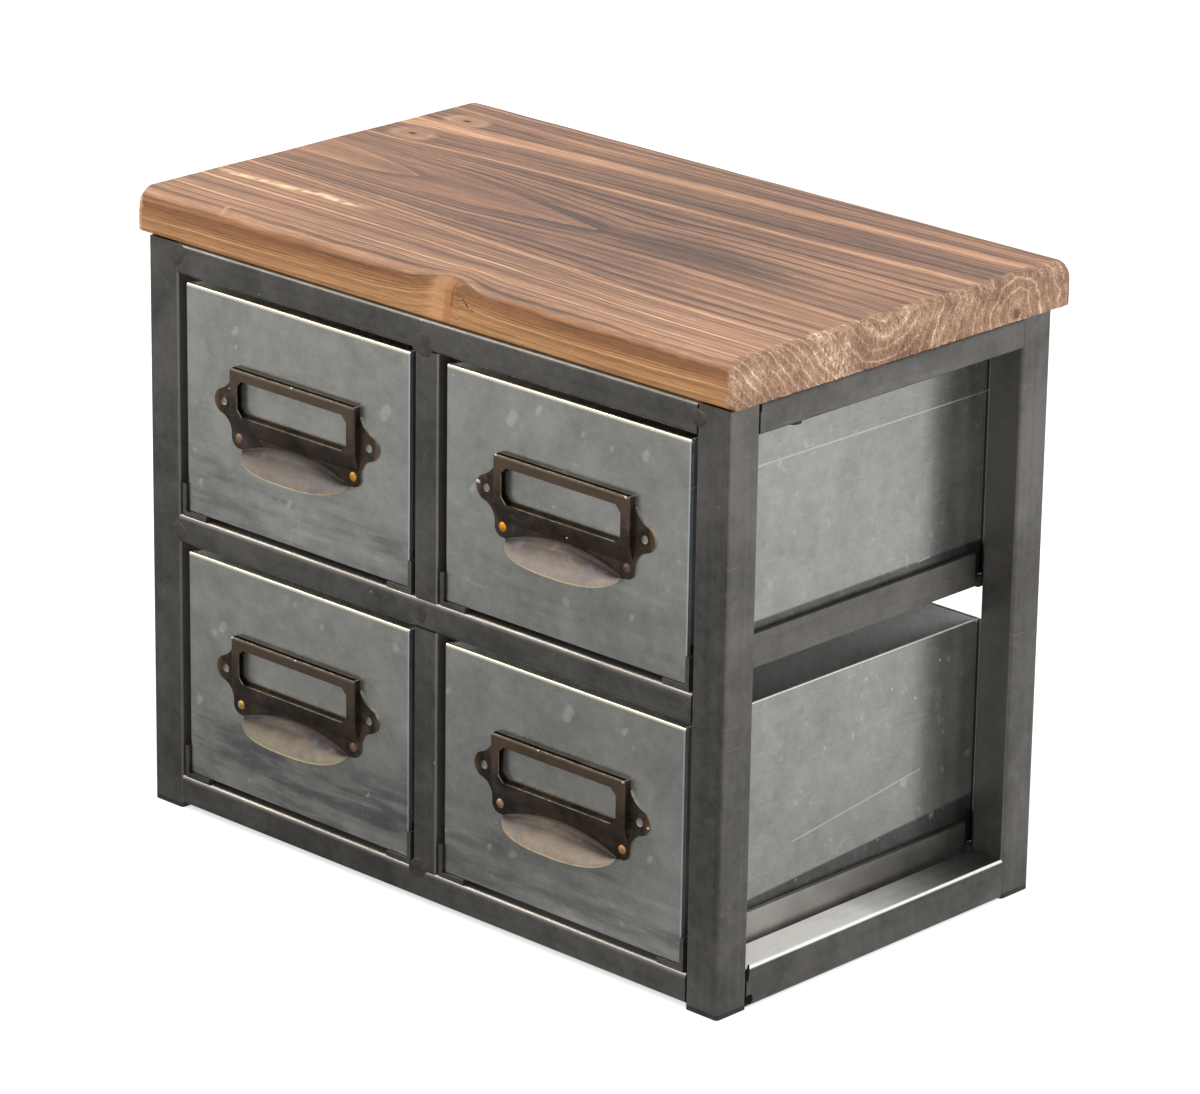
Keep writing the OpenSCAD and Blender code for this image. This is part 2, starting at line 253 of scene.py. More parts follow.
# small bright specks: the near points of a scattered set of points, of which only a share is kept
specks, into, out = newGroup("specks", [("Vector", "Vector", None), ("Spacing", "Float", 0.01),
                                        ("Size", "Float", 0.1), ("Share", "Float", 0.3)],
                             [("Mask", "Float")])
cells = addNode(specks, "TexVoronoi", {"Vector": into["Vector"],
                                       "Scale": calc(specks, "DIVIDE", 1.0, into["Spacing"])})
ragged = calc(specks, "MULTIPLY", noise(specks, into["Vector"], 0.0016, 2.0), into["Size"])
reach = calc(specks, "ADD", into["Size"], calc(specks, "MULTIPLY", ragged, 1.2))
near = calc(specks, "SUBTRACT", 1.0, calc(specks, "DIVIDE", cells.outputs["Distance"], reach), clamp=True)
lot = addNode(specks, "SeparateColor", {"Color": cells.outputs["Color"]}).outputs[0]
kept = below(specks, lot, into["Share"])
feed(specks, out["Mask"], calc(specks, "MULTIPLY", span(specks, near, 0.0, 0.35), kept))

# straight fine scratches: noise in thin sheets, turned, of which only the peaks are kept
scratches, into, out = newGroup("scratches", [("Vector", "Vector", None),
                                              ("Turn", "Vector", (0.0, 0.0, 0.0)),
                                              ("Width", "Float", 0.0003), ("Length", "Float", 0.03),
                                              ("Level", "Float", 0.7)], [("Mask", "Float")])
turned = addNode(scratches, "VectorRotate", {"Vector": into["Vector"], "Rotation": into["Turn"]},
                 rotation_type="EULER_XYZ").outputs[0]
thin = addNode(scratches, "CombineXYZ", {
    "X": calc(scratches, "DIVIDE", 1.0, into["Width"]), "Y": calc(scratches, "DIVIDE", 1.0, into["Length"]),
    "Z": calc(scratches, "DIVIDE", 1.0, into["Length"])}).outputs[0]
level = addNode(scratches, "TexNoise", {"Vector": vectorMath(scratches, "MULTIPLY", turned, thin),
                                        "Scale": 1.0, "Detail": 1.0}).outputs["Fac"]
peak = calc(scratches, "ADD", into["Level"], 0.05)
feed(scratches, out["Mask"], span(scratches, level, into["Level"], peak))

# cloudy stains in two sizes
stains, into, out = newGroup("stains", [("Vector", "Vector", None), ("Size", "Float", 0.03)],
                             [("Broad", "Float"), ("Fine", "Float")])
for label, count, detail, rough, warp, low in (("Broad", 1.0, 5.0, 0.6, 0.6, 0.32),
                                               ("Fine", 9.0, 6.0, 0.7, 0.2, 0.3)):
    cloud = addNode(stains, "TexNoise", {
        "Vector": into["Vector"], "Scale": calc(stains, "DIVIDE", count, into["Size"]), "Detail": detail,
        "Roughness": rough, "Distortion": warp}).outputs["Fac"]
    feed(stains, out[label], span(stains, cloud, low, 1 - low))

# distance to a straight stroke between two points
stroke, into, out = newGroup("stroke", [("Vector", "Vector", None), ("From", "Vector", None),
                                        ("To", "Vector", None)], [("Distance", "Float")])
across = vectorMath(stroke, "SUBTRACT", into["Vector"], into["From"])
whole = vectorMath(stroke, "SUBTRACT", into["To"], into["From"])
share = calc(stroke, "DIVIDE", vectorMath(stroke, "DOT_PRODUCT", across, whole, "Value"),
             vectorMath(stroke, "DOT_PRODUCT", whole, whole, "Value"), clamp=True)
nearest = addNode(stroke, "VectorMath", {0: whole, "Scale": share}, operation="SCALE").outputs[0]
feed(stroke, out["Distance"], vectorMath(stroke, "DISTANCE", across, nearest, "Value"))


def strokeMask(tree, vector, start, end, width):
    # one along the stroke, falling to nothing at the given width
    distance = useGroup(tree, stroke, {"Vector": vector, "From": start, "To": end})["Distance"]
    return span(tree, distance, width, width * 0.45)


print("shared effects built")


def dress(name, material):
    cadNodes[name].material_slots[0].material = material


steelLook = {"dark": tint(76, 74, 71), "light": tint(120, 117, 113), "metallic": 0.9, "roughness": 0.40,
             "frontEnd": -0.1095}


def steelMaterial(name, grain, paintedLight=None, pale=()):
    # Dark clear-coated tube; grain is the direction of its fine drawing lines. The third argument names a
    # stretch along
    # Y, and the least height, where painted light lies on the tube as a bright, less metallic patch. Pale
    # lists (axis, from, to, share) of edges and faces that get a painted highlight.
    made, tree, shader = newMaterial(name, {"Metallic": steelLook["metallic"], "Coat Roughness": 0.25})
    place = objectPlace(tree)
    cloud = useGroup(tree, stains, {"Vector": place, "Size": 0.045})
    fineScale, broadScale = [900.0] * 3, [260.0] * 3
    fineScale["XYZ".index(grain)], broadScale["XYZ".index(grain)] = 9.0, 4.0
    lines = noise(tree, stretch(tree, place, fineScale), 1.0, 2.0)
    bands = noise(tree, stretch(tree, place, broadScale), 1.0, 2.0)
    tone = total(tree, (0.40, cloud["Broad"]), (0.25, lines), (0.40, bands), (0.30, cloud["Fine"]), -0.17)
    colour = blendColours(tree, tone, steelLook["dark"], steelLook["light"])
    dots = useGroup(tree, specks, {"Vector": place, "Spacing": 0.011, "Size": 0.045, "Share": 0.22})["Mask"]
    hair = useGroup(tree, scratches, {"Vector": place, "Turn": (0.4, 0.9, 0.3), "Width": 0.0005,
                                      "Length": 0.03, "Level": 0.745})["Mask"]
    marks = either(tree, dots, calc(tree, "MULTIPLY", hair, 0.4))
    colour = paint(tree, colour, (196, 190, 180), marks, 0.6)
    part = split(tree, place)
    # painted highlights: pale bands laid on the listed edges and faces
    for axis, start, end, share in pale:
        fade = (end - start) * 0.3
        band = both(tree, span(tree, part[axis], start - fade, start + fade), below(tree, part[axis], end))
        colour = paint(tree, colour, (192, 187, 181), band, share)
    # painted light: a bright, less metallic patch on the top of the tube, and a painted highlight along its
    # outer corner where an edge is given
    if paintedLight:
        upper = span(tree, part[2], paintedLight["low"], paintedLight["low"] + 0.001)
        behindEnd = span(tree, part[1], steelLook["frontEnd"], steelLook["frontEnd"] + 0.0025)
        uneven = total(tree, (0.5, bands), (0.25, cloud["Broad"]), 0.6)
        paintedLitShare = both(tree, span(tree, part[1], paintedLight["rear"], paintedLight["front"]), upper, behindEnd, uneven)
        paintedLitShare = calc(tree, "MULTIPLY", paintedLitShare, paintedLight["share"], clamp=True)
        if "edge" in paintedLight:
            corner = span(tree, part[0], paintedLight["edge"] - 0.0014, paintedLight["edge"] - 0.0007)
            paintedLitShare = either(tree, paintedLitShare, both(tree, corner, upper))
        colour = blendColours(tree, paintedLitShare, colour, paintedLight["colour"])
        feed(tree, shader.inputs["Metallic"], total(tree, (-paintedLight["dull"], paintedLitShare), steelLook["metallic"]))
    wire(tree, shader, {
        "Base Color": colour,
        "Roughness": total(tree, (0.12, cloud["Fine"]), steelLook["roughness"] - 0.06),
        "Coat Weight": calc(tree, "MULTIPLY", cloud["Broad"], 0.25),
        "Normal": bump(tree, total(tree, (0.4, lines), (1.0, cloud["Fine"])), 0.12, 0.0002)})
    return made


# painted highlights: the rounded upper edges of the rails and the right edges of the uprights are painted
# lighter
railTops = [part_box(rail)[1].z for rail in ("front_mid_rail", "front_bottom_rail")]
uprightEdges = [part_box(upright)[1].x for upright in ("post_front_left", "mullion_upper")]
steelAlong = {
    "X": steelMaterial("darkSteelX", "X", pale=[(2, top - 0.0022, top + 0.0006, 0.34) for top in railTops]),
    "Y": steelMaterial("darkSteelY", "Y"),
    "Z": steelMaterial("darkSteelZ", "Z", pale=[(0, edge - 0.0008, edge + 0.0003, 0.35)
                                                for edge in uprightEdges]),
}
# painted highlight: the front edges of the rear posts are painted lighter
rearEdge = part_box("post_rear_right")[0].y
rearSteelPaintedEdge = steelMaterial("rearSteelPaintedEdge", "Z", pale=[(1, rearEdge - 0.002, rearEdge + 0.0003, 0.22)])
# painted light on the top of the right bottom side rail and on the face of the lower right outer runner
paintedLightTube = steelMaterial("paintedLightTube", "Y", {"front": -0.03, "rear": 0.085, "low": 0.0188, "share": 1.1,
                                               "dull": 0.60, "edge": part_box("side_bottom_rail_right")[1].x,
                                               "colour": tint(252, 250, 244)})
paintedLightRunner = steelMaterial("paintedLightRunner", "Y", {"front": -0.100, "rear": 0.10, "low": -0.001,
                                                   "share": 0.55, "dull": 0.1,
                                                   "colour": tint(208, 205, 200)})

# skin and frontHem: how deep the outer faces and the folded edges of the front reach, in metres
zincLook = {"dark": tint(158, 159, 155), "light": tint(188, 188, 183), "metallic": 0.92, "roughness": 0.31,
            "skin": 0.0004, "frontHem": 0.0022}


def wanderingPlace(tree, place, own):
    # a place that wanders by a millimetre, for ragged blots
    wander = addNode(tree, "TexNoise", {"Vector": own, "Scale": 420.0, "Detail": 2.0}).outputs["Color"]
    return addNode(tree, "VectorMath", {0: wander, 1: (0.0024, 0.0024, 0.0024),
                                        2: vectorMath(tree, "SUBTRACT", place, (0.0012, 0.0012, 0.0012))},
                   operation="MULTIPLY_ADD").outputs[0]


def zincMaterial(name, low, high, seed, foot, strokes, blots):
    # Galvanised sheet; low and high are the drawer's corners, which tell inside, front, sides and edges
    # apart. Foot, strokes and blots are as in drawerMarks.
    made, tree, shader = newMaterial(name, {})
    place = objectPlace(tree)
    own = stretch(tree, place, shift=(seed * 0.37, seed * 0.11, seed * 0.23))
    cloud = useGroup(tree, stains, {"Vector": own, "Size": 0.05})
    patches = useGroup(tree, stains, {"Vector": own, "Size": 0.014})
    brushed = noise(tree, stretch(tree, own, (70.0, 70.0, 700.0), turn=(0.35, 0.3, 0.0)), 1.0, 2.0)
    dust = noise(tree, own, 0.0009, 3.0, 0.7)
    tone = total(tree, (0.50, cloud["Broad"]), (0.35, patches["Broad"]), (0.30, cloud["Fine"]),
                 (0.40, brushed), (0.9, dust), -0.75)
    colour = blendColours(tree, tone, zincLook["dark"], zincLook["light"])
    part = split(tree, place)
    fromMiddle = calc(tree, "ABSOLUTE", calc(tree, "SUBTRACT", part[0], (low[0] + high[0]) / 2))
    half = (high[0] - low[0]) / 2
    skin, front = zincLook["skin"], low[1] + zincLook["frontHem"]
    flank = above(tree, fromMiddle, half - skin)
    frontal = below(tree, part[1], front)
    inside = both(tree, below(tree, fromMiddle, half - skin), above(tree, part[1], front),
                  below(tree, part[1], high[1] - skin), above(tree, part[2], low[2] + skin))
    # painted light: the inside walls are painted pale and made less metallic, standing in for light that
    # reaches inside
    paintedLitLining = both(tree, inside, total(tree, (0.20, patches["Broad"]), (0.25, cloud["Fine"]), 0.60))
    colour = paint(tree, colour, (236, 242, 238), paintedLitLining)
    # long level smears across the lower part of the front
    smear = noise(tree, stretch(tree, own, (16.0, 16.0, 120.0), turn=(0.0, 0.12, 0.0)), 1.0, 4.0, 0.6)
    lowPart = both(tree, span(tree, calc(tree, "SUBTRACT", part[2], low[2]), 0.050, 0.020),
                   opposite(tree, flank))
    colour = paint(tree, colour, (84, 86, 90), lowPart, span(tree, smear, 0.56, 0.34), foot[2])
    colour = paint(tree, colour, (226, 226, 224), lowPart, span(tree, smear, 0.56, 0.70), 0.30)
    colour = paint(tree, colour, (40, 42, 42), flank, 0.20)
    # painted reflection: the rear third of the outer sides is darker, in two steps with uneven borders, as a
    # dark reflection
    drift = noise(tree, stretch(tree, own, (1.0, 1.0, 0.3)), 0.012, 3.0)
    reflectionBorder = noise(tree, stretch(tree, own, (1.0, 1.0, 0.25)), 0.005, 3.0)
    rear = total(tree, calc(tree, "SUBTRACT", part[1], high[1]), (0.008, drift), -0.004)
    band = total(tree, (0.47, span(tree, rear, -0.050, -0.034)), (-0.25, span(tree, rear, -0.026, -0.016)))
    band = both(tree, band, flank, total(tree, (0.5, reflectionBorder), 0.78))
    colour = paint(tree, colour, (34, 37, 39), band)
    # painted shade: a dark strip along the foot of the outer sides, higher towards the rear
    lift = total(tree, calc(tree, "SUBTRACT", part[2], low[2] + foot[0]),
                 ((foot[0] - foot[1]) / (high[1] - low[1]), calc(tree, "SUBTRACT", part[1], low[1])))
    uneven = total(tree, (0.2, patches["Broad"]), 0.80)
    footShade = both(tree, span(tree, lift, 0.0008, -0.0006), flank, uneven)
    colour = paint(tree, colour, (44, 49, 46), calc(tree, "MULTIPLY", footShade, 0.8, clamp=True))
    # the rear seam of the sides: a painted dark shade line, then a painted highlight on the edge of the
    # back's flange
    fromRear = calc(tree, "SUBTRACT", high[1], part[1])
    seamShade = both(tree, flank, span(tree, fromRear, 0.0030, 0.0026), span(tree, fromRear, 0.0009, 0.0013))
    colour = paint(tree, colour, (16, 17, 18), seamShade, 0.85)
    colour = paint(tree, colour, (206, 210, 212), flank, span(tree, fromRear, 0.0011, 0.0007), 0.65)
    dots = useGroup(tree, specks, {"Vector": own, "Spacing": 0.011, "Size": 0.05, "Share": 0.2})["Mask"]
    drops = useGroup(tree, specks, {"Vector": own, "Spacing": 0.026, "Size": 0.07, "Share": 0.45})["Mask"]
    hairs = [useGroup(tree, scratches, {"Vector": own, "Turn": turn, "Width": 0.00045, "Length": length,
                                        "Level": level})["Mask"]
             for turn, length, level in (((0.5, 0.5, 0.2), 0.025, 0.70), ((0.3, -0.6, 0.9), 0.014, 0.71),
                                         ((1.2, 0.2, 0.4), 0.05, 0.735))]
    flat = vectorMath(tree, "MULTIPLY", place, (0.0, 1.0, 1.0))
    lines = [both(tree, strokeMask(tree, flat, (0.0, *start), (0.0, *end), width), flank)
             for start, end, width in strokes]
    spread = vectorMath(tree, "MULTIPLY", wanderingPlace(tree, place, own), (1.0, 0.0, 1.0))
    pale = []
    for x, z, r in blots:
        start, end = [((frameLow[0] + x + side * r * 0.3) / 1000, 0.0, (z + side * r * 0.5) / 1000)
                      for side in (-1, 1)]
        pale.append(strokeMask(tree, spread, start, end, r / 1000))
    pale = both(tree, either(tree, *pale), frontal, total(tree, (0.8, dust), 0.1), 0.75)
    film = noise(tree, stretch(tree, own, shift=(1.0, 2.0, 3.0)), 0.006, 4.0, 0.6)
    smears = both(tree, span(tree, film, 0.60, 0.72), cloud["Broad"])
    marks = either(tree, calc(tree, "MULTIPLY", dots, 0.5), calc(tree, "MULTIPLY", drops, 0.3),
                   calc(tree, "MULTIPLY", either(tree, *hairs), 0.12), calc(tree, "MULTIPLY", smears, 0.30),
                   calc(tree, "MULTIPLY", either(tree, *lines), 0.5), pale)
    colour = paint(tree, colour, (230, 232, 228), marks, opposite(tree, inside))
    # painted highlights on the folded edges: the hem along the top is painted pale and warm, the top rim of
    # the sides bright at its outer edge, the fold at the right of the front cooler
    hemHighlight = span(tree, part[2], high[2] - 0.0019, high[2] - 0.0014)
    colour = paint(tree, colour, (255, 246, 222), hemHighlight, frontal)
    rim = both(tree, span(tree, part[2], high[2] - 0.0007, high[2] - 0.0003), opposite(tree, frontal))
    outerEdge = above(tree, fromMiddle, half - 0.0007)
    rimHighlightColour = blendColours(tree, outerEdge, tint(120, 126, 118), tint(250, 250, 244))
    colour = blendColours(tree, rim, colour, rimHighlightColour)
    foldHighlight = both(tree, span(tree, calc(tree, "SUBTRACT", high[0], part[0]), 0.0014, 0.0004), frontal)
    colour = paint(tree, colour, (226, 236, 242), foldHighlight, 0.7)
    metallic = total(tree, (-0.72, inside), zincLook["metallic"])
    rough = total(tree, (0.10, cloud["Broad"]), (0.08, patches["Fine"]), (0.2, marks), (0.12, inside),
                  zincLook["roughness"] - 0.07)
    waves = bump(tree, noise(tree, own, 0.055, 1.0), 0.5, 0.0012)
    relief = total(tree, (1.0, cloud["Fine"]), (0.5, brushed))
    wire(tree, shader, {
        "Base Color": colour,
        "Metallic": metallic,
        "Roughness": rough,
        "Normal": bump(tree, relief, 0.10, 0.0002, waves)})
    return made


# foot: height of the painted shade at the foot of the sides in front and at the rear, and strength of the
# smears;
# strokes: lines on the right side as (from, to, width) in Y and Z;
# blots: on the front as (x, z, radius) in mm, x from the left of the frame
drawerMarks = {
    "upper_left": {
        "foot": (0.0180, 0.0190, 0.40),
        "strokes": (((0.01, 0.2), (0.02, 0.203), 0.0003),),
        "blots": ((58.6, 256.5, 2.2), (59.3, 248.6, 1.2), (161.2, 239.6, 3.6), (95.7, 178.2, 2.0),
                  (33.6, 174.5, 1.6), (142, 206, 1.2))},
    "upper_right": {
        "foot": (0.0180, 0.0190, 0.16),
        "strokes": (((-0.111, 0.2502), (0.0960, 0.2500), 0.00045),
                    ((0.0480, 0.1760), (0.0560, 0.1766), 0.0004)),
        "blots": ((244.1, 256.9, 3.4), (261.1, 264.8, 2.0), (288.9, 260.0, 1.3), (307.0, 257.3, 1.5),
                  (327.9, 259.1, 2.4), (219.3, 217.0, 2.0), (321.0, 180.0, 1.4))},
    "lower_left": {
        "foot": (0.0168, 0.0270, 0.62),
        "strokes": (((0.01, 0.08), (0.02, 0.083), 0.0003),),
        "blots": ((48.4, 102.6, 2.6), (118.0, 121.6, 1.3), (31.0, 60.0, 2.4), (150.0, 44.0, 1.2))},
    "lower_right": {
        "foot": (0.0158, 0.0268, 0.44),
        "strokes": (((-0.036, 0.0590), (0.0546, 0.0700), 0.00045),),
        "blots": ((282.0, 122.6, 3.4), (318.0, 124.0, 1.8), (204.0, 113.0, 1.6), (335.0, 66.0, 1.6),
                  (232.0, 42.0, 1.4))},
}
for seed, (drawer, marks) in enumerate(drawerMarks.items()):
    low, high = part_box(drawer + "_tray")
    low.y, high.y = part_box(drawer + "_front")[0].y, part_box(drawer + "_back")[1].y
    high.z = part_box(drawer + "_front")[1].z
    zinc = zincMaterial("galvanised_" + drawer, tuple(low), tuple(high), seed + 1, **marks)
    for piece in ("_tray", "_front", "_back"):
        dress(drawer + piece, zinc)


def plainMetal(name, dark, light, roughness, metallic=1.0, size=0.004):
    made, tree, shader = newMaterial(name, {"Metallic": metallic})
    cloud = useGroup(tree, stains, {"Vector": objectPlace(tree), "Size": size})
    colour = blendColours(tree, cloud["Broad"], dark, light)
    wire(tree, shader, {
        "Base Color": blendColours(tree, calc(tree, "MULTIPLY", cloud["Fine"], 0.35), colour, light),
        "Roughness": total(tree, (0.12, cloud["Fine"]), roughness - 0.05),
        "Normal": bump(tree, cloud["Fine"], 0.15, 0.0001)})
    return made


screwMetal = plainMetal("blackScrew", tint(46, 44, 42), tint(74, 70, 66), 0.42)
brassWorn = plainMetal("wornBrassEdge", tint(120, 112, 98), tint(226, 216, 192), 0.28, 1.0, 0.006)
weldSteel = plainMetal("groundWeld", tint(84, 80, 76), tint(104, 100, 95), 0.36, 0.9, 0.005)
solderGrey = plainMetal("solderSpeck", tint(170, 166, 156), tint(240, 236, 226), 0.35, 0.8, 0.002)

rivetTones = {
    "upper_left": ((118, 92, 78), (172, 132, 106), (172, 128, 44), (222, 172, 70)),
    "upper_right": ((206, 126, 22), (255, 178, 62), (84, 68, 58), (120, 98, 84)),
    "lower_left": ((164, 132, 72), (214, 178, 106), (92, 72, 58), (132, 104, 84)),
    "lower_right": ((128, 98, 80), (184, 146, 120), (150, 110, 74), (206, 158, 108)),
}


def rivetMaterial(name, middle, tones):
    # worn copper or brass heads; the two rivets of a pull differ
    made, tree, shader = newMaterial(name, {"Metallic": 0.75})
    place = objectPlace(tree)
    cloud = useGroup(tree, stains, {"Vector": place, "Size": 0.003})
    left = blendColours(tree, cloud["Broad"], tint(*tones[0]), tint(*tones[1]))
    right = blendColours(tree, cloud["Broad"], tint(*tones[2]), tint(*tones[3]))
    side = above(tree, split(tree, place)[0], middle)
    wire(tree, shader, {
        "Base Color": blendColours(tree, side, left, right),
        "Roughness": total(tree, (0.2, cloud["Fine"]), 0.34),
        "Normal": bump(tree, cloud["Fine"], 0.3, 0.0002)})
    return made


for drawer, tones in rivetTones.items():
    low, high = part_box(drawer + "_rivets")
    dress(drawer + "_rivets", rivetMaterial("rivets_" + drawer, (low.x + high.x) / 2, tones))

capBlack, tree, shader = newMaterial("capPlastic", {"Roughness": 0.55})
cloud = useGroup(tree, stains, {"Vector": objectPlace(tree), "Size": 0.01})
wire(tree, shader, {
    "Base Color": blendColours(tree, cloud["Broad"], tint(22, 22, 22), tint(44, 43, 42)),
    "Normal": bump(tree, cloud["Fine"], 0.2, 0.0002)})

# painted shade: near-black material for the thin pieces laid into the joint gaps
sootAndJointShade, tree, shader = newMaterial("jointShadow", {"Roughness": 0.9, "Specular IOR Level": 0.1})
cloud = useGroup(tree, stains, {"Vector": objectPlace(tree), "Size": 0.004})
feed(tree, shader.inputs["Base Color"], blendColours(tree, cloud["Fine"], tint(8, 8, 8), tint(24, 23, 22)))

# materials of the other solids by the start of their names, of which the first that fits counts
dressing = (("side_bottom_rail_right", paintedLightTube), ("runner_lower_right_outer", paintedLightRunner),
            ("post_rear", rearSteelPaintedEdge), ("post_", steelAlong["Z"]), ("mullion_", steelAlong["Z"]),
            ("front_", steelAlong["X"]), ("rear_", steelAlong["X"]), ("side_", steelAlong["Y"]),
            ("runner_", steelAlong["Y"]), ("foot_cap", capBlack), ("top_screws", screwMetal))
for name in cadNodes:
    for start, material in dressing:
        if name.startswith(start):
            dress(name, material)
            break
print("metals built")


def gridFaces(rows, columns, closed=False):
    # corner numbers of the cells of a grid of points, row by row; closed joins the last column to the first
    a, b = np.meshgrid(np.arange(rows - 1), np.arange(columns if closed else columns - 1), indexing="ij")
    after = (b + 1) % columns
    return np.stack([a * columns + b, (a + 1) * columns + b, (a + 1) * columns + after,
                     a * columns + after], -1).reshape(-1, 4)


def joinGrids(grids):
    # several (points, faces, slots) sets become one, with the face numbers moved along
    starts = np.cumsum([0] + [len(grid[0]) for grid in grids])
    points = np.concatenate([grid[0] for grid in grids])
    faces = np.concatenate([grid[1] + start for grid, start in zip(grids, starts)])
    slots = np.concatenate([np.zeros(len(grid[1]), int) + grid[2] for grid in grids])
    return points, faces, slots


def makePiece(name, points, faces, materials, body, slots=None, values=None, smooth=38,
              weld=2e-6):
    # points in metres; values holds one array of numbers per point for each attribute
    mesh = bpy.data.meshes.new(name)
    mesh.from_pydata(points.tolist(), [], faces.tolist())
    for material in materials:
        mesh.materials.append(material)
    if slots is not None:
        mesh.polygons.foreach_set("material_index", slots.astype(np.int32))
    for label, numbers in (values or {}).items():
        mesh.attributes.new(label, "FLOAT", "POINT").data.foreach_set("value", numbers.astype(np.float32))
    work = bmesh.new()
    work.from_mesh(mesh)
    bmesh.ops.remove_doubles(work, verts=work.verts, dist=weld)
    bmesh.ops.dissolve_degenerate(work, edges=work.edges, dist=weld / 4)
    bmesh.ops.recalc_face_normals(work, faces=work.faces)
    work.to_mesh(mesh)
    work.free()
    mesh.shade_smooth()
    mesh.set_sharp_from_angle(angle=math.radians(smooth))
    piece = bpy.data.objects.new(name, mesh)
    bpy.context.scene.collection.objects.link(piece)
    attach(piece, body)
    return piece


def wavy(seed, x, y, size, count=7):
    # a smooth random field from -1 to 1: the mean of a few sine waves in random directions
    random = np.random.default_rng(seed)
    turn = random.uniform(0, math.pi, count)
    length = size * random.uniform(0.6, 1.8, count)
    phase = random.uniform(0, 2 * math.pi, count)
    waves = sum(np.sin((x * math.cos(t) + y * math.sin(t)) * 2 * math.pi / l + p)
                for t, l, p in zip(turn, length, phase))
    return waves / count * 1.6


def bell(distance, width):
    # one at no distance and less to both sides: e to the minus square of distance over width
    return np.exp(-(distance / width) ** 2)


def softStep(value, low, high):
    # nothing up to low, one from high on, and 3s^2 - 2s^3 of the share s of the way between them
    share = np.clip((value - low) / (high - low), 0, 1)
    return share * share * (3 - 2 * share)


def curve(places, heights, x, ease=45):
    # a line through given points with eased corners: sampled finely, then averaged over a sliding window
    fine = np.linspace(places[0] - 30, places[-1] + 30, 900)
    window = np.hanning(2 * ease + 3)
    eased = np.convolve(np.pad(np.interp(fine, places, heights), ease + 1, mode="edge"),
                        window / window.sum(), "valid")
    return np.interp(x, fine, eased)


# in mm from the board's left, front and underside; front to under are radii of the edges, tip and innerTip
# the ends of the two flames, and the last three are counts of points
board = {"front": 7.0, "leftEnd": 4.2, "rightEnd": 5.0, "under": 0.7, "tip": 210.0, "innerTip": 83.0,
         "knots": ((24.0, 162.3), (27.0, 197.8)), "edgeKnot": 212.5, "pith": (192.9, 3.4), "across": 152,
         "along": 190, "capRows": 17}
# places along the board, then year number and distances from the front of each leading line of the grain
grainPlaces = [0, 40, 90, 140, 210, 270, 330, 391]
grainLines = (
    (0, [0, 0, 0, 0, 0, 0, 0, 0]),
    (4.5, [38, 37, 36, 35, 31.5, 26.5, 23.5, 22.5]),
    (9.0, [70, 68, 64, 59, 51, 45.5, 43.5, 42.5]),
    (14.6, [90, 91, 91.5, 93, 105.7, 109.5, 107, 104.7]),
    (15.4, [131.5, 132, 128.5, 121, 106.3, 110.7, 108, 105.3]),
    (21.0, [149, 152, 156, 159, 161, 163, 166, 169]),
    (25.0, [172, 176, 184, 187.5, 191, 195, 199, 203]),
    (28.0, [211, 210, 208, 210, 213, 215, 217, 219]),
    (31.0, [232, 232, 232, 232, 232, 232, 232, 232]),
)
boardLow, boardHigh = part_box("wood_top")
boardLong, boardDeep, boardThick = (np.array(boardHigh) - np.array(boardLow)) * 1000


def boardHalves():
    # Upper and lower half of the cross section from front to back, in mm and with equally many points: a
    # rectangle with quarter circles at its corners, wide ones above and narrow ones below.
    r, u = board["front"], board["under"]
    middle = boardThick / 2
    topRow = np.linspace(r, boardDeep - r, board["across"])
    level = np.ones(len(topRow))
    arc = np.linspace(0, math.pi / 2, 11)[1:-1]
    rise = np.linspace(middle, boardThick - r, 4)
    upY = np.concatenate([np.zeros(4), r - r * np.cos(arc), topRow, boardDeep - r + r * np.sin(arc),
                          np.full(4, boardDeep)])
    upZ = np.concatenate([rise, boardThick - r + r * np.sin(arc), level * boardThick,
                          boardThick - r + r * np.cos(arc), rise[::-1]])
    small = np.linspace(0, math.pi / 2, 6)[1:-1]
    fall = np.linspace(middle, u, 9)
    lowY = np.concatenate([np.zeros(9), u - u * np.cos(small), topRow, boardDeep - u + u * np.sin(small),
                           np.full(9, boardDeep)])
    lowZ = np.concatenate([fall, u - u * np.sin(small), level * 0, u - u * np.cos(small), fall[::-1]])
    return upY, upZ, lowY, lowZ


def wedgeDistance(y, upper, lower):
    # distance across the grain to a flame between two lines, negative inside it
    return np.maximum(y - upper, lower - y)


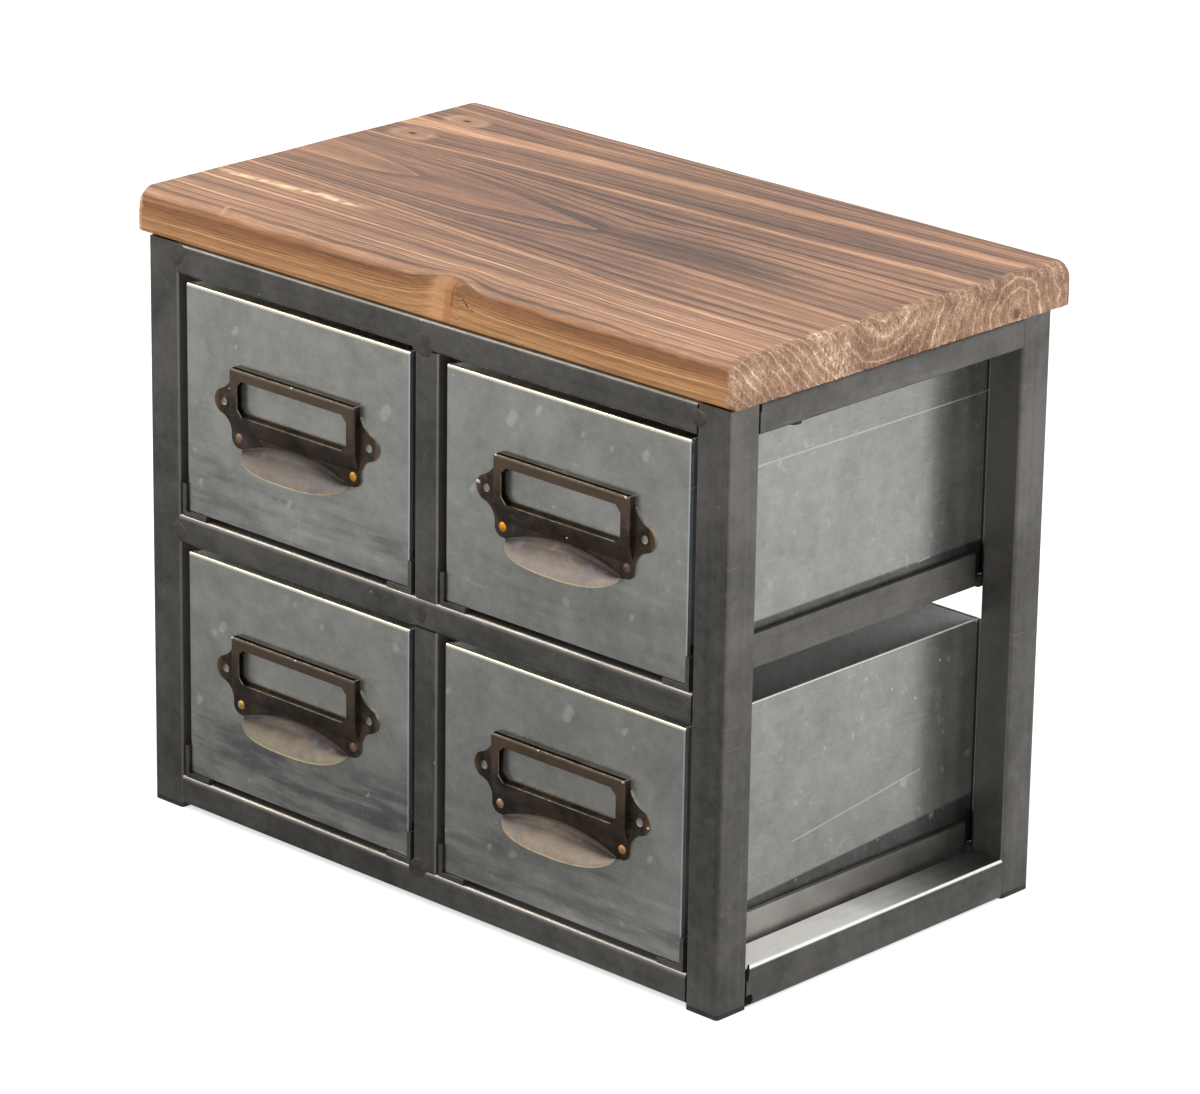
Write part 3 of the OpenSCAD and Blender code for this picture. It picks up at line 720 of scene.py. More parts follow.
def grainFigure(x, y, z):
    # The year number of each point: the leading lines of the grain hold fixed numbers, and between two
    # lines the number grows evenly. Knots push the lines apart, waves make them wander.
    sway = y + 0.6 * wavy(3, x * 0.5, y * 2.5, 60) + 0.12 * wavy(4, x, y * 3.0, 24)
    for knotX, knotY in board["knots"]:
        away = np.hypot((x - knotX) * 0.55, y - knotY)
        sway = sway - (y - knotY) * 0.55 * np.exp(-(away / 8.5) ** 2)
    edge = bell(x - board["edgeKnot"], 13)
    sway = sway - 9 * edge * np.exp(-(y + (boardThick - z) * 0.6) / 12)
    lines = [curve(grainPlaces, heights, x, 5 if 14 < year < 16 else 45) for year, heights in grainLines]
    years = [year for year, heights in grainLines]
    age = np.full(x.shape, float(years[0]))
    for lowLine, highLine, lowYear, highYear in zip(lines, lines[1:], years, years[1:]):
        share = np.clip((sway - lowLine) / np.maximum(highLine - lowLine, 0.3), 0, 1)
        age = age + share * (highYear - lowYear)
    outer = wedgeDistance(sway, lines[4], lines[3]) + np.clip(x - board["tip"] + 6, 0, None) * 0.3
    innerUp = curve([0, 20, 52, 72, 83], [125.5, 123.8, 118.2, 114.2, 110.5], x, 4)
    innerLow = curve([0, 50, 70, 83], [103.5, 100.5, 104.5, 110.5], x, 4)
    past = np.clip(x - board["innerTip"], 0, None)
    inner = wedgeDistance(sway, innerUp, innerLow) + past * 0.25
    return age, outer, inner, sway, lines


def endFigure(y, z):
    # Year numbers on the right end: circles round the pith, a bowl of arcs under a knot, and leaning lines
    # in front.
    wander = 0.5 * wavy(21, y, z * 1.2, 14) + 0.25 * wavy(22, y, z, 5)
    rings = np.hypot(y - 192.6 - 0.5 * (z - 3) * softStep(192 - y, 22, 50), (z - 3.2)) / 6.2 + 40
    bowl = np.hypot((y - 101.5) * 0.9, z - 31) / 6.0 + 20
    lean = (y + 0.92 * (z - 10)) / 5.8
    middle = softStep(y - (z - 11) * 0.35, 118, 134)
    front = 1 - softStep(y + (z - 11) * 0.5, 70, 80)
    return np.where(middle > 0.5, rings, np.where(front > 0.5, lean, bowl)) + wander * 0.35


def buildBoard():
    # Cross sections carried along X. Near the ends the section sinks by r - r*sin(a), as the station goes
    # out by r - r*cos(a). Each end is closed by a grid between the upper and the lower half of its last
    # section.
    left, right = board["leftEnd"], board["rightEnd"]
    turn = np.linspace(0, math.pi / 2, 8)
    between = np.linspace(left, boardLong - right, board["along"])[1:-1]
    stations = np.concatenate([left - left * np.sin(turn[::-1]), between,
                               boardLong - right + right * np.sin(turn)])
    sink = np.concatenate([left - left * np.cos(turn[::-1]), between * 0, right - right * np.cos(turn)])
    upY, upZ, lowY, lowZ = boardHalves()
    ringY, ringZ = np.concatenate([upY, lowY[::-1]]), np.concatenate([upZ, lowZ[::-1]])
    x = np.repeat(stations[:, None], len(ringY), 1)
    sunk = sink[:, None]
    upper = softStep(ringZ, boardThick * 0.3, boardThick)
    z = ringZ - sunk * upper
    y = ringY + (boardDeep / 2 - ringY) * sunk * 0.25 / boardDeep
    skin = np.stack([x, y, z], -1)
    grids = [(skin.reshape(-1, 3), gridFaces(len(stations), len(ringY), True), 0)]
    count = len(upY)
    share = np.linspace(0, 1, board["capRows"])[:, None, None]
    for end in (0, -1):
        topHalf, lowHalf = skin[end, :count], skin[end, count:][::-1]
        cap = topHalf * (1 - share) + lowHalf * share
        grids.append((cap.reshape(-1, 3), gridFaces(board["capRows"], count), 0))
    points, faces, slots = joinGrids(grids)
    x, y, z = points.T
    top = softStep(z, boardThick - 6, boardThick - 1)
    frontSide = 1 - softStep(y, 0.5, 7)
    endRight = softStep(x, boardLong - right * 1.15, boardLong - right * 0.5)
    endMark = np.maximum(softStep(x, boardLong - right * 1.9, boardLong - right * 0.1),
                         1 - softStep(x, 0.3, 4.0))
    endLeft = 1 - softStep(x, 0.3, 2.5)
    age, outer, inner, sway, lines = grainFigure(x, y, z)
    # relief: uneven edges, and the knot that stands out of the front edge
    long = x - board["edgeKnot"]
    lump = 1.7 * bell(long + 1, 9.0) * bell(z - 18, 7) - 1.4 * bell(long + 14, 6) * bell(z - 19, 5) \
        + 0.9 * bell(long + 24, 9) * bell(z - 15, 6) - 1.0 * bell(long - 18, 9) * bell(z - 19, 5)
    corner = frontSide * softStep(z, 9, 16)
    ripple = 0.5 + 0.5 * wavy(7, x, x * 0, 46) + 0.2 * wavy(8, x, x * 0, 11)
    newY = y - frontSide * lump * 0.9 + corner * ripple
    z = z + np.minimum(0, frontSide * top * (lump * 0.5 - 0.8 - 0.5 * wavy(9, x, x * 0, 38)))
    z = z - top * 0.10 * (1 + wavy(5, x, y, 60))
    nick = bell(x - 57, 1.3) * bell(y - 4, 2.6) * top
    z = z - 0.8 * nick
    rough = wavy(11, y, z * 1.3, 2.6, 9) * 0.25 + wavy(12, y, z * 0.7, 7.5) * 0.3
    newX = x - endRight * np.clip(0.4 + rough, 0.02, 1.3)
    newX = newX + endLeft * np.clip(0.15 + 0.2 * wavy(13, y, z, 5), 0.01, 1)
    # darker and paler places
    tail = (lines[3] + lines[4]) / 2
    past = x - board["tip"]
    flank = softStep(past, -150, -5) * (past <= 3)
    halfWide = 1.5 + 4.0 * softStep(past, -90, 0)
    burn = 0.85 * flank * bell(np.maximum(outer - 0.8, 0), halfWide) * (outer > -0.6)
    halfWide = 3.0 + 12 * softStep(past, -5, 45)
    smoke = 0.54 * bell(sway - tail, halfWide) * softStep(past, -5, 3) * (1 - softStep(past, 70, 150))
    burn = np.maximum(burn, smoke)
    halo = bell(np.maximum(inner - 1.0, 0), 4.5) * softStep(x, 10, 75)
    halo = halo * (1 - softStep(x, 95, 125)) * (inner > -0.5)
    burn = np.maximum(burn, 0.42 * halo * (outer < 0))
    for (knotX, knotY), strength in zip(board["knots"], (0.30, 0.14)):
        away = np.hypot((x - knotX) * 0.95, y - knotY)
        burn = np.maximum(burn, strength * (1 - softStep(away, 5.5, 9.0)) * top)
    rim = 0.5 * softStep(y, boardDeep - 4.5, boardDeep - 2.0) + 0.35 * (1 - softStep(x, 1.0, 4.0)) * top
    burn = np.maximum(burn, rim)
    fromLine = y - 48.6 - (x - 20) * 0.055 - 1.3 * wavy(15, x, x * 0, 22)
    pale = 1.2 * bell(fromLine, 2.1) * softStep(x, 4, 14) * (1 - softStep(x, 88, 112))
    pale = pale * softStep(wavy(16, x, y * 4, 9), -0.9, 0.2) * top
    pale = np.maximum(pale, 0.4 * nick)
    # the end has a whitish tuft in front and along a bowl of arcs, and a darker foot below it
    bowl = np.hypot((y - 101.5) * 0.9, z - 31)
    tuft = 0.9 * bell(y - 65 - (11 - z) * 0.5, 9)
    arcs = 0.7 * bell(bowl - 16, 3.0) * softStep(y, 84, 94) * (1 - softStep(y, 118, 130))
    patch = 0.5 * bell(y - 138 + (11 - z) * 0.3, 4) * (1 - softStep(z, 8, 16))
    frost = tuft + arcs + patch
    foot = 0.8 * bell(y - 112, 26) * (1 - softStep(z, 4, 13))
    foot = foot + 0.5 * bell(y - 86, 8) * (1 - softStep(z, 8, 18))
    # the front has its own layers, by height, which rise towards the knot
    before = 5.0 * np.exp(-np.abs(long + 10) / 16) * (long < -10)
    over = 5.0 * bell(long + 10, 16) * (long >= -10) * (long < 6)
    after = 3.4 * np.exp(-np.abs(long - 6) / 22) * (long >= 6)
    lift = before + over + after
    layer = z - lift + 0.55 * wavy(17, x, z * 3, 90) + 0.2 * wavy(18, x, z * 3, 25) - 0.004 * (x - 200)
    border = y - (boardThick - z)
    edgeLine = -2.0 + 6.0 * bell(long + 2, 13) + 0.8 * wavy(19, x, x * 0, 40)
    sideFace = 1 - softStep(border, edgeLine - 2.5, edgeLine + 2.0)
    sideFace = np.maximum(sideFace, 1 - softStep(z, 10, 15)) * (1 - endRight)
    values = {"age": age, "outer": outer, "inner": inner, "burn": np.clip(burn, 0, 1.4),
              "pale": np.clip(pale, 0, 1), "endFace": endMark, "sideFace": np.clip(sideFace, 0, 1),
              "endAge": endFigure(y, z), "layer": layer, "frost": np.clip(frost, 0, 1), "foot": foot}
    placed = np.stack([np.clip(newX, 0.005, boardLong - 0.005), np.clip(newY, -2.4, boardDeep - 0.005),
                       np.clip(z, 0, boardThick - 0.005)], -1)
    return placed / 1000 + np.array(boardLow), faces, values


def boardPoint(x, y, z):
    # from mm on the board to a place in the scene
    return tuple((np.array([x, y, z]) / 1000 + np.array(boardLow)).tolist())


def frontStroke(tree, flat, blur, start, end, full, none):
    # one along a stroke on the board's front as far as the full width, then falling to nothing
    ends = [tuple(v * side for v, side in zip(boardPoint(x, 0, z), (1, 0, 1))) for x, z in (start, end)]
    distance = useGroup(tree, stroke, {"Vector": flat, "From": ends[0], "To": ends[1]})["Distance"]
    return span(tree, total(tree, distance, blur), none, full)


def readValue(tree, name):
    return addNode(tree, "Attribute", attribute_name=name).outputs["Fac"]


# years: year number and grey; front: height in mm and colour; top and end: tone and colour
firLook = {
    "years": ((0.0, 0.60), (2.2, 0.64), (3.2, 0.50), (4.3, 0.56), (4.6, 0.78), (5.0, 0.48), (6.4, 0.60),
              (7.2, 0.44), (8.8, 0.50), (9.05, 0.74), (9.4, 0.42), (10.6, 0.54), (11.6, 0.40),
              (12.6, 0.52), (13.7, 0.40), (14.5, 0.36), (15.5, 0.36), (16.6, 0.46), (18.2, 0.50),
              (19.2, 0.38), (20.7, 0.44), (21.0, 0.78), (21.4, 0.42), (22.6, 0.30), (23.6, 0.36),
              (24.7, 0.36), (25.05, 0.76), (26.2, 0.60), (26.6, 0.38), (27.8, 0.44), (28.05, 0.72),
              (28.5, 0.44)),
    "front": ((0.0, (206, 154, 104)), (2.2, (190, 138, 90)), (3.4, (208, 156, 108)),
              (5.8, (192, 140, 92)), (7.4, (186, 134, 86)), (8.2, (222, 174, 126)), (9.0, (190, 138, 92)),
              (11.2, (176, 124, 80)), (12.8, (166, 116, 76)), (14.2, (150, 102, 67)),
              (16.2, (154, 106, 71)), (17.4, (176, 126, 87)), (19.0, (170, 119, 80)),
              (23.0, (190, 140, 100))),
    "top": ((0.0, (78, 63, 58)), (0.20, (104, 82, 72)), (0.40, (136, 104, 86)), (0.58, (164, 124, 98)),
            (0.78, (192, 150, 120)), (1.0, (224, 188, 158))),
    "end": ((0.05, (84, 63, 51)), (0.28, (124, 95, 77)), (0.50, (161, 127, 103)), (0.70, (191, 159, 133)),
            (0.95, (236, 216, 194))),
    "sootAndJointShade": (114, 92, 82), "scar": (240, 204, 168), "crack": (50, 30, 20),
    "knotBody": (202, 150, 104), "knotCore": (158, 106, 64), "knotVein": (112, 70, 42),
    "pinHalo": (214, 170, 138), "pinDisc": (150, 108, 84), "pinDot": (44, 34, 30),
    "pith": (88, 58, 44), "endCorner": (210, 156, 112),
}
fir, tree, shader = newMaterial("scorchedFir", {"Specular IOR Level": 0.25})
place = objectPlace(tree)
boardValues = ("age", "outer", "inner", "burn", "pale", "endFace", "sideFace", "endAge", "layer", "frost",
               "foot")
age, outer, inner, burn, pale, endFace, sideFace, endAge, layer, frost, foot = [
    readValue(tree, name) for name in boardValues]
fibre = noise(tree, stretch(tree, place, (14.0, 620.0, 620.0)), 1.0, 3.0, 0.6)
fibreFine = noise(tree, stretch(tree, place, (100.0, 1500.0, 1500.0)), 1.0, 2.0, 0.6)
grit = noise(tree, place, 0.0011, 4.0, 0.7)
longPatch = noise(tree, stretch(tree, place, (5.0, 38.0, 38.0)), 1.0, 3.0, 0.55)
waver = noise(tree, stretch(tree, place, (9.0, 60.0, 60.0)), 1.0, 2.0)
ring = total(tree, age, (0.22, waver), -0.11)
# broad tones by year number, then a bright and a dark line of uneven strength in each year
lastYear = grainLines[-1][0]
yearTones = greyRamp(tree, calc(tree, "DIVIDE", ring, lastYear),
                     [(year / lastYear, grey) for year, grey in firLook["years"]])
ringLine = calc(tree, "MULTIPLY", ring, 1.35)
yearBit, yearCount = calc(tree, "FRACT", ringLine), calc(tree, "FLOOR", ringLine)
firstChance = chance(tree, yearCount)
secondChance = chance(tree, calc(tree, "ADD", yearCount, 0.37))
streaks = noise(tree, stretch(tree, place, (9.0, 240.0, 240.0)), 1.0, 3.0, 0.6)
brightLine = both(tree, span(tree, yearBit, 0.0, 0.05), span(tree, yearBit, 0.22, 0.09), firstChance,
                  span(tree, streaks, 0.38, 0.58))
darkLine = both(tree, span(tree, yearBit, 0.45, 0.8), span(tree, yearBit, 1.0, 0.93), secondChance)
fineBand = noiseAlong(tree, calc(tree, "MULTIPLY", ring, 3.3), 3.0, 0.65)
grainTone = total(tree, (1.0, yearTones), -0.02, (0.26, brightLine), (-0.28, darkLine), (0.60, fineBand),
                  -0.30)
# inside the long flame the wood is calmer, with a light line along its border and a smaller flame in it
flameLines = noiseAlong(tree, calc(tree, "MULTIPLY", outer, 0.45), 2.0, 0.6)
innerLines = noiseAlong(tree, calc(tree, "ADD", calc(tree, "MULTIPLY", inner, 0.55), 9.0), 2.0, 0.6)
outline = both(tree, span(tree, outer, -1.6, -0.5), span(tree, outer, 0.3, -0.2))
innerOutline = both(tree, span(tree, inner, -1.8, -0.6), span(tree, inner, 0.4, -0.2))
calm = total(tree, (0.30, flameLines), (0.12, outline), (0.18, innerOutline), 0.34,
             (0.05, span(tree, inner, 0.4, -0.4)))
calm = total(tree, calm, (0.16, innerLines), -0.14)
tone = addNode(tree, "Mix", {0: span(tree, outer, 0.25, -0.25), 2: grainTone, 3: calm}).outputs[0]
tone = total(tree, tone, (0.26, longPatch), (0.46, streaks), (0.50, fibre), (0.42, fibreFine), -0.83)
# a little darker in the middle of the length and paler towards the right end
along = split(tree, place)[0]
tone = total(tree, tone, span(tree, along, -0.12, -0.02, 0.0, -0.055),
             span(tree, along, 0.04, 0.16, 0.0, 0.11))
toneTop = calc(tree, "SUBTRACT", tone, both(tree, burn, total(tree, (0.9, streaks), -0.10)))
topColour = tintRamp(tree, toneTop, firLook["top"])
sooty = both(tree, calc(tree, "SUBTRACT", burn, 0.10, clamp=True), total(tree, (1.2, streaks), -0.10))
topColour = paint(tree, topColour, firLook["sootAndJointShade"], calc(tree, "MULTIPLY", sooty, 0.5, clamp=True))
# the front shows layers by height
layersEnd = firLook["front"][-1][0]
layerTones = tintRamp(tree, calc(tree, "DIVIDE", layer, layersEnd), firLook["front"], layersEnd)
sideGrain = noiseAlong(tree, calc(tree, "MULTIPLY", layer, 1.4), 3.0, 0.6)
shade = total(tree, (0.75, sideGrain), (0.60, fibre), (0.45, streaks), (0.40, fibreFine), -0.54)
sideColour = shadeBy(tree, layerTones, shade)
# knot of the front: a light body with a brown core and a short crack
flat = vectorMath(tree, "MULTIPLY", place, (1.0, 0.0, 1.0))
blurred = total(tree, (0.0022, noise(tree, place, 0.004, 3.0)), -0.0011)
# from and to in mm from the left and from the underside, then full width and end of the fade in metres
frontLines = (((205.5, 1.0), (207.0, 19.0), 0.003, 0.011),
              ((211.0, 1.5), (214.0, 20.0), 0.0015, 0.0042),
              ((214.5, 10.0), (216.0, 20.0), 0.0002, 0.0011),
              ((221.6, 14.2), (224.0, 11.6), 0.0001, 0.0006),
              ((224.0, 11.6), (227.6, 9.8), 0.0001, 0.0005))
knotBody, knotCore, knotVein, crack, crackLow = [
    frontStroke(tree, flat, blurred, *line) for line in frontLines]
knotShade = total(tree, (0.5, fibre), (0.5, grit), 0.42)
sideColour = blendColours(tree, calc(tree, "MULTIPLY", knotBody, 0.42), sideColour,
                          shadeBy(tree, tint(*firLook["knotBody"]), knotShade))
sideColour = blendColours(tree, calc(tree, "MULTIPLY", knotCore, 0.75), sideColour,
                          shadeBy(tree, tint(*firLook["knotCore"]), knotShade))
sideColour = paint(tree, sideColour, firLook["knotVein"], knotVein, 0.6)
# right end: rough rings
endRing = total(tree, endAge, (0.14, noise(tree, place, 0.0035, 3.0, 0.6)),
                (0.6, noise(tree, place, 0.016, 2.0)))
endBit = calc(tree, "FRACT", endRing)
endChance = chance(tree, calc(tree, "FLOOR", endRing))
endLine = both(tree, span(tree, endBit, 0.08, 0.24), span(tree, endBit, 0.42, 0.26),
               total(tree, (0.6, endChance), 0.4))
endGap = both(tree, span(tree, endBit, 0.55, 0.8), span(tree, endBit, 1.0, 0.9))
tufts = noise(tree, stretch(tree, place, (1.0, 1.0, 0.45)), 0.0016, 4.0, 0.7)
fuzz = noise(tree, place, 0.013, 3.0, 0.6)
pores = noise(tree, place, 0.0006, 3.0, 0.7)
endLine = both(tree, endLine, span(tree, fuzz, 0.25, 0.5, 0.45, 1.0))
frosty = both(tree, frost, span(tree, tufts, 0.34, 0.62))
endTone = total(tree, (0.27, endLine), (-0.03, endGap), (0.9, grit), (0.6, tufts), (0.8, fuzz),
                (0.8, pores), (0.30, frosty), (-0.10, foot), -1.10)
endColour = tintRamp(tree, endTone, firLook["end"])
pith = addNode(tree, "VectorMath", {0: vectorMath(tree, "MULTIPLY", place, (0.0, 1.0, 1.0)),
                                    1: (0.0, *boardPoint(0, *board["pith"])[1:])},
               operation="DISTANCE").outputs["Value"]
nearPith = span(tree, total(tree, pith, blurred), 0.0036, 0.0016)
endColour = paint(tree, endColour, firLook["pith"], nearPith, 0.75)
endColour = paint(tree, endColour, firLook["endCorner"], span(tree, sideFace, 0.0, 1.0, 0.0, 0.30))
colour = blendColours(tree, sideFace, topColour, sideColour)
endShare = span(tree, total(tree, endFace, (0.5, tufts), (0.5, fuzz), (1.7, streaks), -1.35), 0.24, 0.70)
colour = blendColours(tree, endShare, colour, endColour)
colour = paint(tree, colour, firLook["scar"], pale, span(tree, tufts, 0.30, 0.50, 0.45, 1.0))
for knotX, knotY in board["knots"]:
    ends = [boardPoint(knotX + side * 4.0, knotY, boardThick - 0.2) for side in (-1, 1)]
    around, disc = [strokeMask(tree, place, *ends, radius) for radius in (0.0125, 0.0065)]
    upward = opposite(tree, sideFace)
    colour = paint(tree, colour, firLook["pinHalo"], around, upward, streaks, 0.7)
    colour = paint(tree, colour, firLook["pinDisc"], disc, upward, 0.62)
    dot = strokeMask(tree, place, boardPoint(knotX - 0.9, knotY, boardThick - 0.2),
                     boardPoint(knotX + 0.9, knotY, boardThick - 0.2), 0.0020)
    colour = paint(tree, colour, firLook["pinDot"], dot, 0.9)
colour = paint(tree, colour, firLook["crack"], either(tree, crack, crackLow), sideFace)
height = total(tree, (0.35, fibre), (-0.5, darkLine), (0.15, fibreFine), (2.4, both(tree, grit, endShare)),
               (0.8, both(tree, endLine, endShare)))
wire(tree, shader, {
    "Base Color": colour,
    "Roughness": total(tree, (0.20, fibre), (0.1, endShare), 0.46),
    "Normal": bump(tree, height, 0.5, 0.0005)})

placed, faces, values = buildBoard()
boardPiece = makePiece("boardOfFir", placed, faces, [fir], "frame", values=values,
                       smooth=60)
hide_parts("wood_top")
print("board built:", len(faces), "faces")

# in mm; ear and lobe as (across, down, radius)
pull = {"labelWide": 86.0, "windowHigh": 18.0, "border": 5.2, "cut": 3.2, "stand": 4.0, "sheet": 0.8,
        "apron": 8.5, "ear": (50.0, -19.0, 6.4), "earHole": 2.1, "lobe": (39.3, -35.5, 5.2), "hollow": 9.0,
        "archDrop": 34.0, "archSag": 7.0, "hoodHalf": 36.0, "lipDrop": 7.0, "reach": 10.5, "step": 0.5}
archR = (pull["hoodHalf"] ** 2 + pull["archSag"] ** 2) / (2 * pull["archSag"])


def sheetMesh(points, keep, thickness, slots=(0, 1)):
    # A grid of points becomes a sheet. The inner side lies thickness behind the outer one along its
    # normals, and a rim closes each edge of the kept cells.
    rows, columns = points.shape[:2]
    normal = np.cross(np.gradient(points, axis=0), np.gradient(points, axis=1))
    normal /= np.maximum(np.linalg.norm(normal, axis=-1, keepdims=True), 1e-9)
    corner = gridFaces(rows, columns).reshape(rows - 1, columns - 1, 4)
    outerFaces = corner[keep]
    shift = rows * columns
    padded = np.pad(keep, 1)
    rims = []
    for side, (dr, dc) in enumerate(((0, -1), (1, 0), (0, 1), (-1, 0))):
        beside = padded[1 + dr:rows + dr, 1 + dc:columns + dc]
        edge = corner[keep & ~beside]
        a, b = edge[:, side], edge[:, (side + 1) % 4]
        rims.append(np.stack([a, a + shift, b + shift, b], -1))
    rims = np.concatenate(rims)
    used = np.concatenate([points.reshape(-1, 3), (points - normal * thickness).reshape(-1, 3)])
    faces = np.concatenate([outerFaces, outerFaces[:, ::-1] + shift, rims])
    material = np.concatenate([np.full(len(outerFaces) * 2, slots[0]), np.full(len(rims), slots[1])])
    return used, faces, material


def insideShape(loop, u, w):
    # signed distance to a closed outline of straight edges, negative inside: the nearest edge, with the
    # sign from how many edges a line to the right crosses
    best = np.full(u.shape, 1e9)
    crossed = np.zeros(u.shape, bool)
    for (ax, ay), (bx, by) in zip(loop, loop[1:] + loop[:1]):
        ex, ey = bx - ax, by - ay
        t = np.clip(((u - ax) * ex + (w - ay) * ey) / (ex * ex + ey * ey), 0, 1)
        best = np.minimum(best, np.hypot(u - ax - t * ex, w - ay - t * ey))
        if ey:
            crossed ^= ((ay > w) != (by > w)) & (u < ax + (w - ay) * ex / ey)
    return np.where(crossed, -best, best)


def touching(a, radiusA, b, radiusB, radius):
    # centre of the circle that touches two circles from outside
    a, b = np.array(a), np.array(b)
    apart = np.linalg.norm(b - a)
    first, second = radiusA + radius, radiusB + radius
    along = (first ** 2 - second ** 2 + apart ** 2) / (2 * apart)
    across = math.sqrt(max(0, first ** 2 - along ** 2))
    unit = (b - a) / apart
    return a + along * unit + across * np.array([-unit[1], unit[0]])


def windowDistance(u, w, lower=0.0):
    # signed distance to the window with cut corners, negative inside it; lower lifts its foot
    half = pull["labelWide"] / 2 - pull["border"]
    top, low, c = -pull["border"], -pull["border"] - pull["windowHigh"] + lower, pull["cut"]
    return insideShape([(-half + c, top), (half - c, top), (half, top - c), (half, low + c),
                        (half - c, low), (-half + c, low), (-half, low + c), (-half, top - c)], u, w)


def plateDistance(u, w):
    # signed distance to the back plate: label frame, ears and lobes joined by hollows, less window, arch
    # and ear holes
    window = windowDistance(u, w, 1.3)
    u = np.abs(u)
    half = pull["labelWide"] / 2
    earU, earW, earR = pull["ear"]
    lobeU, lobeW, lobeR = pull["lobe"]
    out = earU - half
    upR = (out ** 2 + earW ** 2 - earR ** 2) / (2 * (earR + out))
    lowCentre = touching((earU, earW), earR, (lobeU, lobeW), lobeR, pull["hollow"])
    outline = [(-1, -0.1), (half, -0.1), (half + upR, 0), (earU, earW), tuple(lowCentre), (lobeU, lobeW),
               (lobeU + lobeR * 0.643, lobeW - lobeR * 0.766),
               (pull["hoodHalf"], -pull["archDrop"] - pull["archSag"] - 0.3), (28.0, -46.0), (-1, -46.0)]
    body = insideShape(outline, u, w)
    body = np.maximum(body, upR - np.hypot(u - half - upR, w))
    body = np.maximum(body, pull["hollow"] - np.hypot(u - lowCentre[0], w - lowCentre[1]))
    body = np.minimum(body, np.hypot(u - earU, w - earW) - earR)
    body = np.minimum(body, np.hypot(u - lobeU, w - lobeW) - lobeR)
    body = np.maximum(body, archR - np.hypot(u, w + pull["archDrop"] + archR))
    body = np.maximum(body, pull["earHole"] - np.hypot(u - earU, w - earW))
    return np.maximum(body, -window)


def cutGrid(u, w, distance, inside=True):
    # keeps the cells whose middle lies inside (or outside) a shape; border points move onto its outline
    sign = 1 if inside else -1
    middleU = (u[1:, 1:] + u[:-1, :-1] + u[1:, :-1] + u[:-1, 1:]) / 4
    middleW = (w[1:, 1:] + w[:-1, :-1] + w[1:, :-1] + w[:-1, 1:]) / 4
    keep = sign * distance(middleU, middleW) < 0
    count = np.pad(keep, ((0, 1), (0, 1))).astype(int) + np.pad(keep, ((1, 0), (0, 1))) \
        + np.pad(keep, ((0, 1), (1, 0))) + np.pad(keep, ((1, 0), (1, 0)))
    border = (count > 0) & (count < 4)
    small = 0.02
    for _ in range(3):
        d = distance(u, w)
        gradU = (distance(u + small, w) - distance(u - small, w)) / (2 * small)
        gradW = (distance(u, w + small) - distance(u, w - small)) / (2 * small)
        size = np.maximum(gradU ** 2 + gradW ** 2, 0.25)
        near = border & (np.abs(d) < 1.2 * pull["step"])
        u = np.where(near, u - d * gradU / size, u)
        w = np.where(near, w - d * gradW / size, w)
    return u, w, keep


